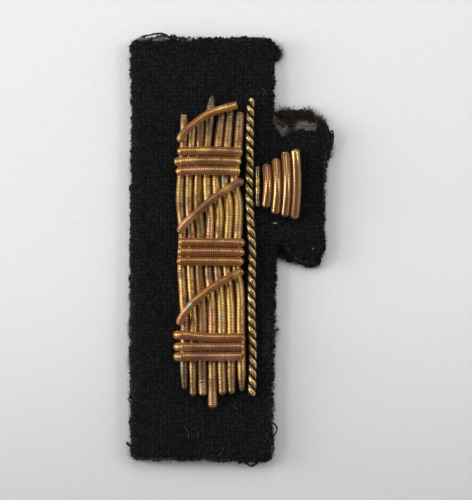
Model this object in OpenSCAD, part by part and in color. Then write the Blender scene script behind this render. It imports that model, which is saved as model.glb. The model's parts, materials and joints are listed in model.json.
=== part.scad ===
// Bullion wire badge: a bundle of rods with an axe, laid in coiled wire on a black cloth patch.
// The patch lies flat on its back, face up. X runs across it, Y up it and Z out of its face.

/* [Cloth patch] */
// Width over the body and its side tab
patch_w = 33.2; // [33:0.1:36]
// Height of the patch
patch_h = 70.3; // [70:0.1:74]
// Width of the body, without the tab
body_w = 23.5; // [23:0.1:24]
// Level of the tab's upper edge above the middle
tab_top = 22.8; // [22.4:0.1:24]
// Level of the tab's lower edge, below the middle when negative
tab_bottom = -2.7; // [-4:0.1:-2.5]
// How far the cut edges wander in and out
edge_wobble = 0.07; // [0:0.01:0.15]

/* [Cloth layers] */
// Thickness of the backing cloth
back_t = 0.9; // [0.8:0.1:1.4]
// Thickness of the pale interlining
interlining_t = 0.45; // [0.3:0.05:0.8]
// Thickness of the black ground cloth
ground_t = 1.2; // [1:0.1:1.8]

/* [Coiled wires] */
// Diameter of the thickest upright rod wire
rod_d = 1.56; // [1.2:0.02:1.6]
// Diameter of the wires that bind the bundle
band_d = 1.48; // [1.2:0.02:1.5]
// Diameter of the slanting wires between the bands
slant_d = 1.28; // [0.9:0.02:1.3]
// Diameter of the axe blade's wires
blade_d = 1.5; // [1.2:0.02:1.5]
// Diameter of the thin wire behind the blade
poll_d = 0.9; // [0.7:0.02:0.92]
// Rise of the blade's wires in their middle
blade_rise = 0.7; // [0.2:0.1:0.9]

/* [Twisted cord] */
// Diameter over both strands
cord_d = 1.42; // [1.2:0.02:1.44]
// Length of one whole turn of a strand
cord_lay = 3.31; // [2.8:0.01:4]

/* [Hidden] */
layer_gap = 0.05;
wire_gap = 0.05;
edge_step = 1.0;
corner_steps = 3;
corner_share = 0.45;
wire_sides = 10;
strand_sides = 8;
strand_spread = 1.3;
strand_gap = 0.08;
front_hurry = 0.5;
rod_steps = 2;
route_steps = 3;
blade_steps = 10;
strand_rings_per_turn = 10;
wrap_angle = 50;
shortest_tail = 0.1;

left = -patch_w / 2;
right = patch_w / 2;
top = patch_h / 2;
bottom = -patch_h / 2;
body_right = left + body_w;
interlining_z = back_t + layer_gap;
ground_z = interlining_z + interlining_t + layer_gap;
ground_top = ground_z + ground_t;

rod_r = rod_d / 2;
band_r = band_d / 2;
slant_r = slant_d / 2;
blade_r = blade_d / 2;
poll_r = poll_d / 2;
cord_r = cord_d / 2;
rod_z = ground_top + wire_gap + rod_r;
band_orbit = rod_r + wire_gap + band_r;
slant_orbit = rod_r + 2 * wire_gap + slant_r;

// Waves in the cut edges. Columns: degrees for each millimetre, start, share.
edge_waves = [[67, 40, 1.0], [157, 60, 0.7], [283, 20, 0.5]];

// Cut outlines, clockwise from the lower left. Columns: x, y, how far a corner is softened.
ground_corners = [
    [left + 0.35, bottom + 0.8, 0.8],
    [left + 0.10, -16.6, 4.0],
    [left + 0.55, 24.6, 4.0],
    [left + 0.20, top - 0.9, 1.0],
    [body_right - 0.3, top - 0.6, 0.9],
    [body_right - 0.1, tab_top - 2.1, 0.4],
    [8.2, tab_top - 4.0, 0.3],
    [8.8, tab_top - 4.3, 0.3],
    [10.5, tab_top - 3.4, 0.4],
    [14.4, tab_top - 3.3, 0.2],
    [14.6, tab_top - 2.1, 0.3],
    [15.5, tab_top - 2.2, 0.3],
    [right - 0.8, tab_top - 5.0, 0.8],
    [right - 1.35, 12.3, 2.0],
    [right - 1.4, tab_bottom + 2.2, 1.0],
    [right - 2.3, tab_bottom + 1.0, 0.6],
    [11.9, tab_bottom + 1.1, 0.5],
    [8.7, 1.7, 0.4],
    [body_right + 0.4, 0.9, 0.3],
    [body_right + 0.25, -6.7, 2.0],
    [body_right - 0.25, -24.8, 2.0],
    [body_right - 0.35, bottom + 0.6, 0.7],
    [-3.0, bottom + 0.5, 2.0],
];
interlining_corners = [
    [left + 0.8, bottom + 1.1, 0.6],
    [left + 0.8, 20.0, 3.0],
    [left + 0.7, top - 0.6, 0.8],
    [-7.0, top - 0.35, 1.0],
    [-2.0, top - 1.0, 1.0],
    [body_right - 0.7, top - 0.9, 0.7],
    [body_right - 0.3, 23.0, 1.0],
    [body_right + 0.0, tab_top - 1.3, 0.3],
    [9.1, tab_top - 2.6, 0.2],
    [9.2, tab_top - 3.7, 0.2],
    [10.4, tab_top - 3.2, 0.2],
    [10.8, tab_top - 2.4, 0.2],
    [14.2, tab_top - 2.4, 0.3],
    [right - 1.6, tab_top - 5.2, 0.8],
    [right - 1.8, tab_bottom + 2.2, 1.0],
    [right - 2.7, tab_bottom + 0.8, 0.4],
    [11.6, tab_bottom + 0.8, 0.4],
    [8.5, 1.3, 0.4],
    [body_right + 0.2, 0.3, 0.3],
    [body_right + 0.3, -12.0, 1.5],
    [body_right + 0.1, -18.0, 1.5],
    [body_right - 0.2, bottom + 0.45, 0.5],
    [0.0, bottom + 0.9, 2.0],
];
back_corners = [
    [left + 0.2, bottom + 0.5, 0.8],
    [left - 0.2, -13.5, 2.5],
    [left + 0.3, 24.6, 3.0],
    [left + 0.0, top - 1.2, 1.0],
    [-12.0, top + 0.3, 2.0],
    [-6.0, top - 0.4, 1.0],
    [5.0, top - 0.1, 1.0],
    [body_right + 0.2, top - 1.2, 0.4],
    [body_right + 0.9, top - 2.0, 0.5],
    [body_right + 0.9, top - 3.8, 0.5],
    [body_right + 0.1, top - 4.2, 0.2],
    [body_right + 0.15, tab_top - 0.5, 0.4],
    [body_right + 1.3, tab_top + 0.1, 0.5],
    [12.7, tab_top, 1.0],
    [15.5, tab_top - 1.8, 0.6],
    [right + 0.2, tab_top - 4.6, 0.8],
    [right - 1.3, 12.0, 2.0],
    [right - 1.3, -0.3, 1.5],
    [right - 2.0, tab_bottom + 0.1, 0.7],
    [12.2, tab_bottom, 0.6],
    [8.8, -1.4, 0.6],
    [body_right + 0.5, -0.5, 0.5],
    [body_right + 0.3, -6.7, 2.0],
    [body_right - 0.1, -24.8, 2.0],
    [body_right - 0.1, bottom + 0.8, 0.7],
    [5.2, bottom - 0.2, 0.8],
    [-4.0, bottom + 0.4, 1.5],
];

// The rods' course. Columns: y, then the x of each rod from left to right.
rod_course = [
    [ 17.2, -7.8, -6.5, -5.15, -3.85, -2.1, -0.6, 1.15],
    [ 11.6, -8.25, -6.9, -5.42, -4.0, -2.5, -1.05, 0.5],
    [  8.4, -8.4, -7.0, -5.45, -3.85, -2.2, -0.5, 1.15],
    [  5.8, -8.25, -6.9, -5.3, -3.5, -1.9, -0.3, 1.25],
    [  2.6, -7.95, -6.5, -5.0, -3.5, -2.0, -0.5, 1.1],
    [ -2.9, -8.15, -6.7, -5.25, -3.75, -2.25, -0.75, 0.8],
    [ -5.5, -8.0, -6.6, -5.1, -3.5, -1.95, -0.4, 1.3],
    [ -8.3, -7.85, -6.4, -4.85, -3.25, -1.7, -0.15, 1.55],
    [-12.2, -7.6, -6.15, -4.65, -3.1, -1.55, 0.0, 1.55],
    [-19.4, -7.75, -6.3, -4.75, -3.1, -1.55, 0.0, 1.7],
];
// The rods' ends. Columns: top x, top y, foot x, foot y.
rod_ends = [
    [-7.7, 22.2, -7.6, -23.0],
    [-6.3, 20.8, -6.2, -24.1],
    [-4.9, 21.7, -4.6, -24.1],
    [-3.1, 25.3, -3.0, -26.1],
    [-1.5, 22.6, -1.4, -24.0],
    [-0.1, 23.0,  0.1, -23.8],
    [ 1.5, 22.7,  1.8, -23.3],
];
// Each rod's thickness as a share of the thickest
rod_girths = [0.9, 0.97, 0.97, 1, 0.98, 1, 0.95];
rod_count = len(rod_ends);

// The bands' turns. Columns: y at the left end, in the middle and at the right end,
// then how far each end reaches past the middle of the outermost rod.
band_turns = [
    [
        [16.1, 16.15, 15.95, 0.85, 0.90],
        [14.4, 14.55, 14.4, 1.20, 0.80],
        [12.82, 12.98, 12.85, 0.85, 0.70],
    ],
    [
        [1.22, 1.16, 1.1, 0.65, 1.15],
        [-0.34, -0.38, -0.44, 0.70, 1.15],
        [-1.88, -1.92, -1.98, 0.75, 1.10],
    ],
    [
        [-14.02, -14.45, -14.42, 1.60, 0.65],
        [-15.98, -16.0, -15.96, 1.50, 0.60],
        [-17.58, -17.54, -17.5, 1.50, 0.40],
    ],
];
band_names = ["upper", "middle", "lower"];
turns_per_band = 3;

// The slanting wires, from lower left to upper right. Columns: x, y.
slant_routes = [
    [[-8.5, 17.6], [-7.8, 19.0], [-6.4, 20.3], [-4.1, 22.0], [-1.6, 23.0], [1.0, 23.7]],
    [[-8.5, 2.7], [-7.7, 4.1], [-5.6, 6.0], [-3.0, 8.3], [-0.3, 10.1], [1.9, 11.3]],
    [[-8.6, -12.4], [-7.7, -10.5], [-5.6, -8.2], [-3.0, -6.2], [-0.3, -4.6], [2.0, -3.45]],
];

// The axe blade's wires, nearest the rods first. Columns: x at the top, middle and foot, top y, foot y.
blade_wires = [
    [5.8, 6.05, 5.7, 14.1, 6.8],
    [7.37, 7.60, 7.26, 15.0, 5.7],
    [8.93, 9.20, 8.82, 16.1, 5.3],
    [10.49, 10.80, 10.38, 16.6, 5.0],
];
poll_x = 4.38;
poll_top = 13.8;
poll_foot = 7.0;

// The twisted cord's own line. Columns: x, y.
cord_route = [
    [3.2, 24.1], [3.1, 18.0], [3.1, 13.1], [3.0, 9.5], [3.2, 4.7], [3.5, 0.1],
    [3.4, -5.8], [3.4, -10.8], [3.6, -16.6], [3.5, -22.3], [3.4, -24.1],
];
// How far each strand's upper end stands past the cord's own
strand_starts = [0.8, -0.4];
// Level at which the first strand lies foremost
strand_front_y = 24.63;

function unit(v) = v / norm(v);
function mix(a, b, t) = a + (b - a) * t;
function clamp(v, low, high) = min(max(v, low), high);

// The value in a column of a table whose first column falls from row to row
function course(table, column, y, row = 0) =
    y >= table[0][0] ? table[0][column] :
    row >= len(table) - 1 ? table[row][column] :
    y >= table[row + 1][0] ? mix(table[row][column], table[row + 1][column],
        (table[row][0] - y) / (table[row][0] - table[row + 1][0])) :
    course(table, column, y, row + 1);

// A smooth curve through every point
function curve_point(a, b, c, d, t) =
    0.5 * ((2 * b) + (c - a) * t + (2 * a - 5 * b + 4 * c - d) * t * t + (3 * b - a - 3 * c + d) * t * t * t);
function curve(points, steps) = let (last = len(points) - 1) concat(
    [for (i = [0:last - 1], s = [0:steps - 1])
        curve_point(points[max(i - 1, 0)], points[i], points[i + 1], points[min(i + 2, last)], s / steps)],
    [points[last]]
);

// One ring of a wire, square to its run. Widths are half its width across and half its height.
function ring(centre, along, up, widths, sides) = let (
    side = unit(cross(up, along)),
    rise = cross(unit(along), side)
) [for (k = [0:sides - 1]) centre
    + widths[0] * cos(360 * k / sides) * side + widths[1] * sin(360 * k / sides) * rise];

function run_at(path, i) = path[min(i + 1, len(path) - 1)] - path[max(i - 1, 0)];

// A wire along a path, with a way up and a pair of widths for each point of it
module wire(path, ups, widths, sides) {
    rings = len(path);
    points = [for (i = [0:rings - 1]) each ring(path[i], run_at(path, i), ups[i], widths[i], sides)];
    walls = [for (i = [0:rings - 2], k = [0:sides - 1]) let (
        here = i * sides,
        ahead = here + sides,
        next = (k + 1) % sides
    ) each [[here + k, here + next, ahead + next], [here + k, ahead + next, ahead + k]]];
    start_cap = [for (k = [sides - 1:-1:0]) k];
    end_cap = [for (k = [0:sides - 1]) (rings - 1) * sides + k];
    polyhedron(points, concat(walls, [start_cap, end_cap]));
}

module round_wire(path, radius) {
    wire(path, [for (p = path) [0, 0, 1]], [for (p = path) [radius, radius]], wire_sides);
}

// Cloth layers

// A corner of the cut, softened by a short curve
function soft_corner(before, corner, after, reach) = let (
    start = corner + unit(before - corner) * min(reach, corner_share * norm(before - corner)),
    finish = corner + unit(after - corner) * min(reach, corner_share * norm(after - corner))
) [for (s = [0:corner_steps]) let (t = s / corner_steps)
    mix(mix(start, corner, t), mix(corner, finish, t), t)];

function plane(row) = [row[0], row[1]];

function softened(corners) = let (n = len(corners)) [for (i = [0:n - 1])
    let (before = corners[(i + n - 1) % n], here = corners[i], after = corners[(i + 1) % n])
        each soft_corner(plane(before), plane(here), plane(after), here[2])];

function subdivided(points) = let (n = len(points)) [for (i = [0:n - 1])
    let (here = points[i], there = points[(i + 1) % n], parts = ceil(norm(there - here) / edge_step))
        for (s = [0:parts - 1]) mix(here, there, s / parts)];

// The shears' wander, worked out from where the edge lies and kept inside the patch's own size
function total(list, i = 0) = i < len(list) ? list[i] + total(list, i + 1) : 0;
function waves(t) = total([for (wave = edge_waves) wave[2] * sin(wave[0] * t + wave[1])]);
function wander(p) = [
    clamp(p.x + edge_wobble * waves(p.y), left, right),
    clamp(p.y + edge_wobble * waves(p.x), bottom, top)
];

module cloth_layer(corners, z, thickness) {
    translate([0, 0, z])
        linear_extrude(height = thickness)
            polygon([for (p = subdivided(softened(corners))) wander(p)]);
}

module ground_cloth() {
    color([0.06, 0.07, 0.07]) cloth_layer(ground_corners, ground_z, ground_t);
}

module interlining() {
    color([0.66, 0.62, 0.52]) cloth_layer(interlining_corners, interlining_z, interlining_t);
}

module back_cloth() {
    color([0.13, 0.10, 0.09]) cloth_layer(back_corners, 0, back_t);
}

// The bundle of rods

function rod_x(i, y) = course(rod_course, i + 1, y);

function rod_route(i) = let (ends = rod_ends[i]) concat(
    [[ends[0], ends[1]]],
    [for (row = rod_course) [row[i + 1], row[0]]],
    [[ends[2], ends[3]]]
);
rod_runs = [for (i = [0:rod_count - 1]) curve(rod_route(i), rod_steps)];

// A rod is squeezed where its neighbours come close
function rod_room(i, j, k) = j < 0 || j >= rod_count ? rod_d :
    abs(rod_runs[i][k].x - rod_runs[j][k].x) - 1.5 * wire_gap;
function rod_half(i, k) = min(rod_d * rod_girths[i], rod_room(i, i - 1, k), rod_room(i, i + 1, k)) / 2;

module rod(i) {
    run = rod_runs[i];
    halves = [for (k = [0:len(run) - 1]) rod_half(i, k)];
    color([0.72, 0.56, 0.27])
        wire([for (k = [0:len(run) - 1]) [run[k].x, run[k].y, ground_top + wire_gap + halves[k]]],
            [for (half = halves) [0, 0, 1]], [for (half = halves) [half, half]], wire_sides);
}

// A band's turn runs over the rods and round the outermost ones. Past the wrap it falls away straight.
function band_end(x, y, side, reach) = let (
    bent = min(wrap_angle, asin(min(1, reach / band_orbit))),
    tail = max(0, reach - band_orbit * sin(wrap_angle)),
    wrapped = [for (a = [0, bent / 2, bent])
        [x + side * band_orbit * sin(a), y, rod_z + band_orbit * cos(a)]],
    tip = [x + side * reach, y, rod_z + band_orbit * cos(wrap_angle) - tail * tan(wrap_angle)]
) tail > shortest_tail ? concat(wrapped, [tip]) : wrapped;

function reversed(list) = [for (i = [len(list) - 1:-1:0]) list[i]];

function band_route(turn) = let (
    first_x = rod_x(0, turn[0]),
    last_x = rod_x(rod_count - 1, turn[2])
) concat(
    reversed(band_end(first_x, turn[0], -1, turn[3])),
    [[mix(first_x, last_x, 0.25), mix(turn[0], turn[1], 0.7), rod_z + band_orbit],
     [mix(first_x, last_x, 0.5), turn[1], rod_z + band_orbit],
     [mix(first_x, last_x, 0.75), mix(turn[1], turn[2], 0.3), rod_z + band_orbit]],
    band_end(last_x, turn[2], 1, turn[4])
);

module band_turn(band, turn) {
    color([0.72, 0.42, 0.24]) round_wire(band_route(band_turns[band][turn]), band_r);
}

// The slanting wires ride over the rods and dip past the outermost ones
function slant_z(x, y) = let (
    outside = max(rod_x(0, y) - x, x - rod_x(rod_count - 1, y), 0)
) rod_z + sqrt(max(0, slant_orbit * slant_orbit - outside * outside));

module slant_wire(i) {
    flat_run = curve(slant_routes[i], route_steps);
    color([0.76, 0.46, 0.26])
        round_wire([for (p = flat_run) [p.x, p.y, slant_z(p.x, p.y)]], slant_r);
}

// The axe

function blade_route(row) = [for (step = [0:blade_steps]) let (
    down = step / blade_steps,
    bow = 1 - pow(2 * down - 1, 2),
    belly = row[1] - (row[0] + row[2]) / 2
) [mix(row[0], row[2], down) + belly * bow, mix(row[3], row[4], down),
    ground_top + wire_gap + blade_r + blade_rise * bow]];

module blade_wire(i) {
    color([0.80, 0.50, 0.27]) round_wire(blade_route(blade_wires[i]), blade_r);
}

module poll_wire() {
    color([0.36, 0.34, 0.27])
        translate([poll_x, poll_top, ground_top + wire_gap + poll_r])
            rotate([90, 0, 0])
                cylinder(h = poll_top - poll_foot, r = poll_r, $fn = 32);
}

// The cord's two strands turn left-handed round its line, and cross its front more steeply than its sides.
// Rows: the place, then the way out from the line.
function strand_y(turned) =
    strand_front_y - cord_lay * (turned / 360 - front_hurry * sin(2 * turned) / (4 * PI));
function strand_rows(start, phase) = let (
    line = curve(cord_route, route_steps),
    by_y = [for (p = line) [p.y, p.x]],
    first = 360 * (strand_front_y - line[0].y - start) / cord_lay,
    last = 360 * (strand_front_y - line[len(line) - 1].y) / cord_lay,
    rings = ceil((last - first) / 360 * strand_rings_per_turn)
) [for (i = [0:rings]) let (
    turned = mix(first, last, i / rings),
    y = strand_y(turned),
    out = [sin(phase + turned), 0, cos(phase + turned)]
) [[course(by_y, 1, y), y, ground_top + wire_gap + cord_r] + (cord_r + strand_gap) / 2 * out, out]];

module cord_strand(i) {
    rows = strand_rows(strand_starts[i], 180 * i);
    half = (cord_r - strand_gap) / 2;
    color([0.80, 0.68, 0.36])
        wire([for (row = rows) row[0]], [for (row = rows) row[1]],
            [for (row = rows) [strand_spread * half, half]], strand_sides);
}

ground_cloth();
interlining();
back_cloth();
for (i = [0:rod_count - 1])
    rod(i);
for (band = [0:len(band_names) - 1], turn = [0:turns_per_band - 1])
    band_turn(band, turn);
for (i = [0:len(slant_routes) - 1])
    slant_wire(i);
for (i = [0:len(blade_wires) - 1])
    blade_wire(i);
poll_wire();
for (i = [0:len(strand_starts) - 1])
    cord_strand(i);
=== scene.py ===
"""Looks of the bullion wire badge.

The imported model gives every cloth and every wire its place. This script winds each wire out of
fine coiled wire along the middle of its CAD solid, weaves and frays the three cloths inside
their CAD outlines, and sets up the pale floor, the soft light and the camera straight above.
Lengths are in millimetres where nothing else is said.
"""

import json
import logging
import math
from collections.abc import Sequence
from dataclasses import dataclass
from enum import Enum

import bmesh
import bpy
import numpy as np
from bmesh.types import BMEdge, BMesh, BMFace, BMVert
from bpy.types import Material, Mesh, NodeSocket, Object
from mathutils import Matrix, Vector, noise

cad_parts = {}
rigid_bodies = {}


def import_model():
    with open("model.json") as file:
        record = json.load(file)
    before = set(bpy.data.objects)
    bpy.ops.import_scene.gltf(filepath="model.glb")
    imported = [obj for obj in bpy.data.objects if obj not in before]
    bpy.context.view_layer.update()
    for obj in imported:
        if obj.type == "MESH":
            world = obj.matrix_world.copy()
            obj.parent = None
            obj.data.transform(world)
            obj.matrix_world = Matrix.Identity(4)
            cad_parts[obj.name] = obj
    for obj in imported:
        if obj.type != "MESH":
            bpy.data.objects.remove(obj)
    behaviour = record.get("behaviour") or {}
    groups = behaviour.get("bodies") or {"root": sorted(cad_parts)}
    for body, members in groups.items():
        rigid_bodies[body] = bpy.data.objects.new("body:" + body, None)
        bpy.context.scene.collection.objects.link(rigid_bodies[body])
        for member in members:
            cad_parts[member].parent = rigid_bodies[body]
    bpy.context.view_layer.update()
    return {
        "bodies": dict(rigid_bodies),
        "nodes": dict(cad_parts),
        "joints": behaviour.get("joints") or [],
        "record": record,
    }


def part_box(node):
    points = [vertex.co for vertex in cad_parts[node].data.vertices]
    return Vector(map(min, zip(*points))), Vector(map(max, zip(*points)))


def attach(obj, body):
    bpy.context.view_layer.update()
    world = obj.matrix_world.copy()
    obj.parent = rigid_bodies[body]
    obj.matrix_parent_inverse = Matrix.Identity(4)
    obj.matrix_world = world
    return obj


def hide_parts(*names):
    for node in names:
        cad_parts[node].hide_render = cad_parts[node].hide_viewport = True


Colour = tuple[float, float, float]
Place = tuple[float, float, float]
Spot = tuple[float, float]
Nodes = dict[str, Object]
Rows = np.ndarray

MM = 0.001
BODY = "root"
LOG = logging.getLogger("wire_badge")

# Meshes
WELD = 0.001
NOISE_DRIFT = np.array((1.0, 0.37, -0.61))
CURVE_STEPS = 4
END_ANGLE = math.radians(80)
UPWARD = 0.5
QUAD = 4
ROWS_AT_ONCE = 4000

# Wires
DOME_REACH = 0.9
SMALLEST_TURN = 0.3
CUT_END_REACH = 0.6
CREST_POWER = 0.5
SHARP_EDGE = math.radians(38)
TURN_OVERLAP = 0.51
FEWEST_TURNS = 3
SWELL = 0.4

# Cloths
SWAY = 0.16
SWAY_GRAIN = 1.9
SWAY_DRIFTS = (0, 5)
LUMP_GRAIN = 0.45
LUMP_DRIFT = 9
THREAD_BULGE = 0.45
YARN_ENDS = 0.09
RAGS = ((0.45, 0.9, 0.0), (0.4, 0.36, 7.0))  # the depth, grain and drift of each
RAG_DRIFT = 1.5
ROLL_DEPTH = 0.8
SLIVER = 0.25
EDGE_STEPS = ((0.35, 0.05), (0.6, 0.06), (0.85, 0.02), (1.0, -0.05))  # share of the thickness, bulge

# Fibres
FIBRE_SIDES = 3
FIBRE_RINGS = 4
FIBRE_TAPER = 0.65
LOWEST_FIBRE = 0.02
YARN_RINGS = (3, 4)
YARN_START = (-0.04, 0.06)
YARN_END = (0.9, 1.05)
YARN_WAVES = (0.5, 3.0)
YARN_FILL = (0.15, 0.8)
YARN_FLARE = 0.3
ROOT_INSET = 0.12
ROOT_FLOOR = 0.1
ROOT_CEILING = 0.15
NAP_INSET = 0.15
NAP_DEPTH = 0.02
TUFT_SPREAD = 0.5
TUFT_INSET = 0.1
TUFT_FLOOR = 0.05
TUFT_CEILING = 0.05
TUFT_LAYER = 0.1

# Materials and light; a span is the range of the value that it reads
# Crest values over which the crests turn pale, partly worn gilding and partly a painted highlight
RUB_HIGHLIGHT_SPAN = (0.3, 1.0)
# Crest values over which the grooves between the turns fade from painted shade to the full colour
GROOVE_SHADE_SPAN = (-0.6, 0.7)
# Share of the full depth at which the painted shade low on the wires starts
DEPTH_SHADE_START = 0.25
# Depths below a cloth's woven face, in weave depths, from full painted shade to none
THREAD_SPAN = (-1.4, -0.25)
STAIN_SHADE = 0.4
STAIN_FALLOFF = 1.5
PATCH_SPAN = 0.3
FLOOR_SHADE = (-0.06, 0.0, 0.76, 1.0)  # painted shade on the floor: from and to in metres along Y, then the shades there
ROOM_LEFT_SPAN = (-1.0, -0.5)
ROOM_RIGHT_SPAN = (0.5, 1.0)
MIX_COLOURS = (6, 7)  # a Mix node's sockets for the two colours, then for the mixed one
MIX_RESULT = 2


def vertex_places(mesh: Mesh) -> Rows:
    """The places of a mesh's vertices.

    Args:
        mesh: the mesh that is read.

    Returns:
        A row for each vertex.
    """
    places = np.empty(len(mesh.vertices) * 3)
    mesh.vertices.foreach_get("co", places)
    return places.reshape(-1, 3)


def move_vertices(mesh: Mesh, places: Rows) -> None:
    """Moves a mesh's vertices to rows of places."""
    mesh.vertices.foreach_set("co", places.ravel())
    mesh.update()


def write_attribute(mesh: Mesh, name: str, values: Rows) -> None:
    """Stores a number or a colour with alpha for each vertex, for the materials."""
    kind, field = ("FLOAT", "value") if values.ndim == 1 else ("FLOAT_COLOR", "color")
    mesh.attributes.new(name, kind, "POINT").data.foreach_set(field, values.astype(np.float32).ravel())


def cloudy(places: Rows, grain: float, seed: float) -> Rows:
    """Smooth noise at many places.

    Args:
        places: rows of two or three numbers.
        grain: the size of a patch.
        seed: shifts the pattern.

    Returns:
        A value from about -1 to 1 for each row.
    """
    scaled = np.zeros((len(places), 3))
    scaled[:, : places.shape[1]] = places / grain
    scaled += seed * NOISE_DRIFT
    return np.array([noise.noise(Vector(row)) for row in scaled.tolist()])


def unit(rows: Rows) -> Rows:
    """Each row at length one."""
    return rows / np.maximum(np.linalg.norm(rows, axis=-1, keepdims=True), 1e-9)


def linked(name: str, data: bpy.types.ID) -> Object:
    """Puts a new object into the scene.

    Args:
        name: its name.
        data: its mesh, light or camera.

    Returns:
        The object.
    """
    made = bpy.data.objects.new(name, data)
    bpy.context.scene.collection.objects.link(made)
    return made


def closed(bm: BMesh, mesh: Mesh) -> Mesh:
    """Writes an edited bmesh out and frees it.

    Args:
        bm: the bmesh.
        mesh: the mesh that gets its shape.

    Returns:
        The mesh.
    """
    bm.to_mesh(mesh)
    bm.free()
    return mesh


def welded(node: Object) -> BMesh:
    """Joins the loose triangles of a CAD solid in a copy.

    Args:
        node: the CAD solid.

    Returns:
        The copy, as a bmesh.
    """
    bm = bmesh.new()
    bm.from_mesh(node.data)
    bmesh.ops.remove_doubles(bm, verts=bm.verts, dist=WELD * MM)
    bm.normal_update()
    return bm


def repeated(mesh: Mesh, count: int, rise: float, joined: bool) -> Mesh:
    """Copies a mesh along Z with an Array modifier, which is applied.

    Args:
        mesh: one copy, which is removed afterwards.
        count: the number of copies.
        rise: the way from one copy to the next.
        joined: whether the copies' touching vertices are merged.

    Returns:
        The mesh of all copies.
    """
    holder = linked("copies", mesh)
    array = holder.modifiers.new("copies", "ARRAY")
    array.count = count
    array.use_relative_offset = False
    array.use_constant_offset = True
    array.constant_offset_displace = (0.0, 0.0, rise)
    array.use_merge_vertices = joined
    array.merge_threshold = WELD
    graph = bpy.context.evaluated_depsgraph_get()
    result = bpy.data.meshes.new_from_object(holder.evaluated_get(graph))
    bpy.data.objects.remove(holder)
    bpy.data.meshes.remove(mesh)
    return result


def spread(ring: list[BMVert]) -> list[list[BMVert]]:
    """Vertices in the order in which edges reach them.

    Args:
        ring: the vertices that come first.

    Returns:
        The first ring, then the vertices one edge away, two edges away, and so on.
    """
    seen = set(ring)
    rings = []
    while ring:
        rings.append(ring)
        found = dict.fromkeys(edge.other_vert(vert) for vert in ring for edge in vert.link_edges)
        ring = [vert for vert in found if vert not in seen]
        seen.update(ring)
    return rings


def end_ring(bm: BMesh) -> list[BMVert]:
    """The vertices round one flat end of a wire.

    Args:
        bm: the wire, whose only sharp edges are those round its two ends.

    Returns:
        The ring of vertices, in no order.
    """
    sharp = {edge for edge in bm.edges if edge.calc_face_angle(0.0) > END_ANGLE}
    ring = list(next(edge for edge in bm.edges if edge in sharp).verts)
    for vert in ring:
        ends = [edge.other_vert(vert) for edge in vert.link_edges if edge in sharp]
        ring.extend(other for other in ends if other not in ring)
    return ring


def rounded(points: Rows) -> Rows:
    """Lays a smooth curve through points.

    Args:
        points: rows of any width.

    Returns:
        The points of a Catmull-Rom curve.
    """
    padded = np.vstack([2 * points[0] - points[1], points, 2 * points[-1] - points[-2]])
    share = np.linspace(0.0, 1.0, CURVE_STEPS, endpoint=False)[:, None]
    stretches = []
    for before, start, end, after in zip(padded, padded[1:], padded[2:], padded[3:]):
        bend = 2 * before - 5 * start + 4 * end - after
        twist = 3 * start - before - 3 * end + after
        stretches.append(start + 0.5 * share * (end - before + share * (bend + share * twist)))
    return np.vstack([*stretches, points[-1:]])


class Course:
    """The middle line of a wire or thread, with its section on the way."""

    def __init__(self, points: Rows, sections: Rows | None = None) -> None:
        """Smooths the line and lays a frame along it.

        Args:
            points: the places that it passes.
            sections: at each place, the matrix that turns a unit circle into the wire's section.
        """
        if sections is None:
            sections = np.tile(np.eye(3), (len(points), 1, 1))
        line = rounded(np.column_stack([points, sections.reshape(-1, 9)]))
        self.reach = np.r_[0.0, np.cumsum(np.linalg.norm(np.diff(line[:, :3], axis=0), axis=1))]
        self.length = float(self.reach[-1])
        ahead = unit(np.gradient(line[:, :3], axis=0))
        side = np.empty_like(ahead)
        across = np.cross(ahead[0], (0.0, 0.0, 1.0))
        for row, way in enumerate(ahead):
            across = unit(across - way * (across @ way))
            side[row] = across
        squeeze = line[:, 3:].reshape(-1, 3, 3)
        spans = [np.einsum("nij,nj->ni", squeeze, way) for way in (side, np.cross(ahead, side))]
        self.rows = np.column_stack([line[:, :3], ahead, *spans])
        self.radius = float(np.median(np.linalg.norm(self.rows[:, 6:].reshape(-1, 3), axis=1)))

    @classmethod
    def of_node(cls, node: Object) -> "Course":
        """Reads the middle line of a CAD wire from its rings of vertices.

        Args:
            node: the CAD wire.

        Returns:
            The line from one end to the other.
        """
        bm = welded(node)
        middles = []
        sections = []
        for ring in spread(end_ring(bm)):
            places = np.array([vert.co for vert in ring]) / MM
            middles.append(places.mean(axis=0))
            offsets = places - middles[-1]
            spans, ways = np.linalg.eigh(2.0 * offsets.T @ offsets / len(offsets))
            sections.append(ways * np.sqrt(np.maximum(spans, 0.0)) @ ways.T)
        bm.free()
        return cls(np.array(middles), np.array(sections))

    def bend(self, along: Rows, side: Rows, above: Rows) -> Rows:
        """Takes places off a straight line on to this one.

        Args:
            along: distances along the line.
            side: places to its side, as shares of the section.
            above: places above it, as shares of the section.

        Returns:
            The bent places.
        """
        held = np.clip(along, 0.0, self.length)
        row = np.column_stack([np.interp(held, self.reach, column) for column in self.rows.T])
        past = (along - held)[:, None]
        return row[:, :3] + past * row[:, 3:6] + side[:, None] * row[:, 6:9] + above[:, None] * row[:, 9:]


@dataclass(frozen=True)
class Cloud:
    """Patches of smooth noise, of which one range is eased on to another."""

    grain: float  # the size of a patch
    shift: float  # moves the pattern, in metres
    low: float = 0.0  # the noise's range
    high: float = 1.0
    to_low: float = 0.0  # the range that it is eased on to
    to_high: float = 1.0
    detail: float = 2.0  # how many finer layers it has


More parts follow.
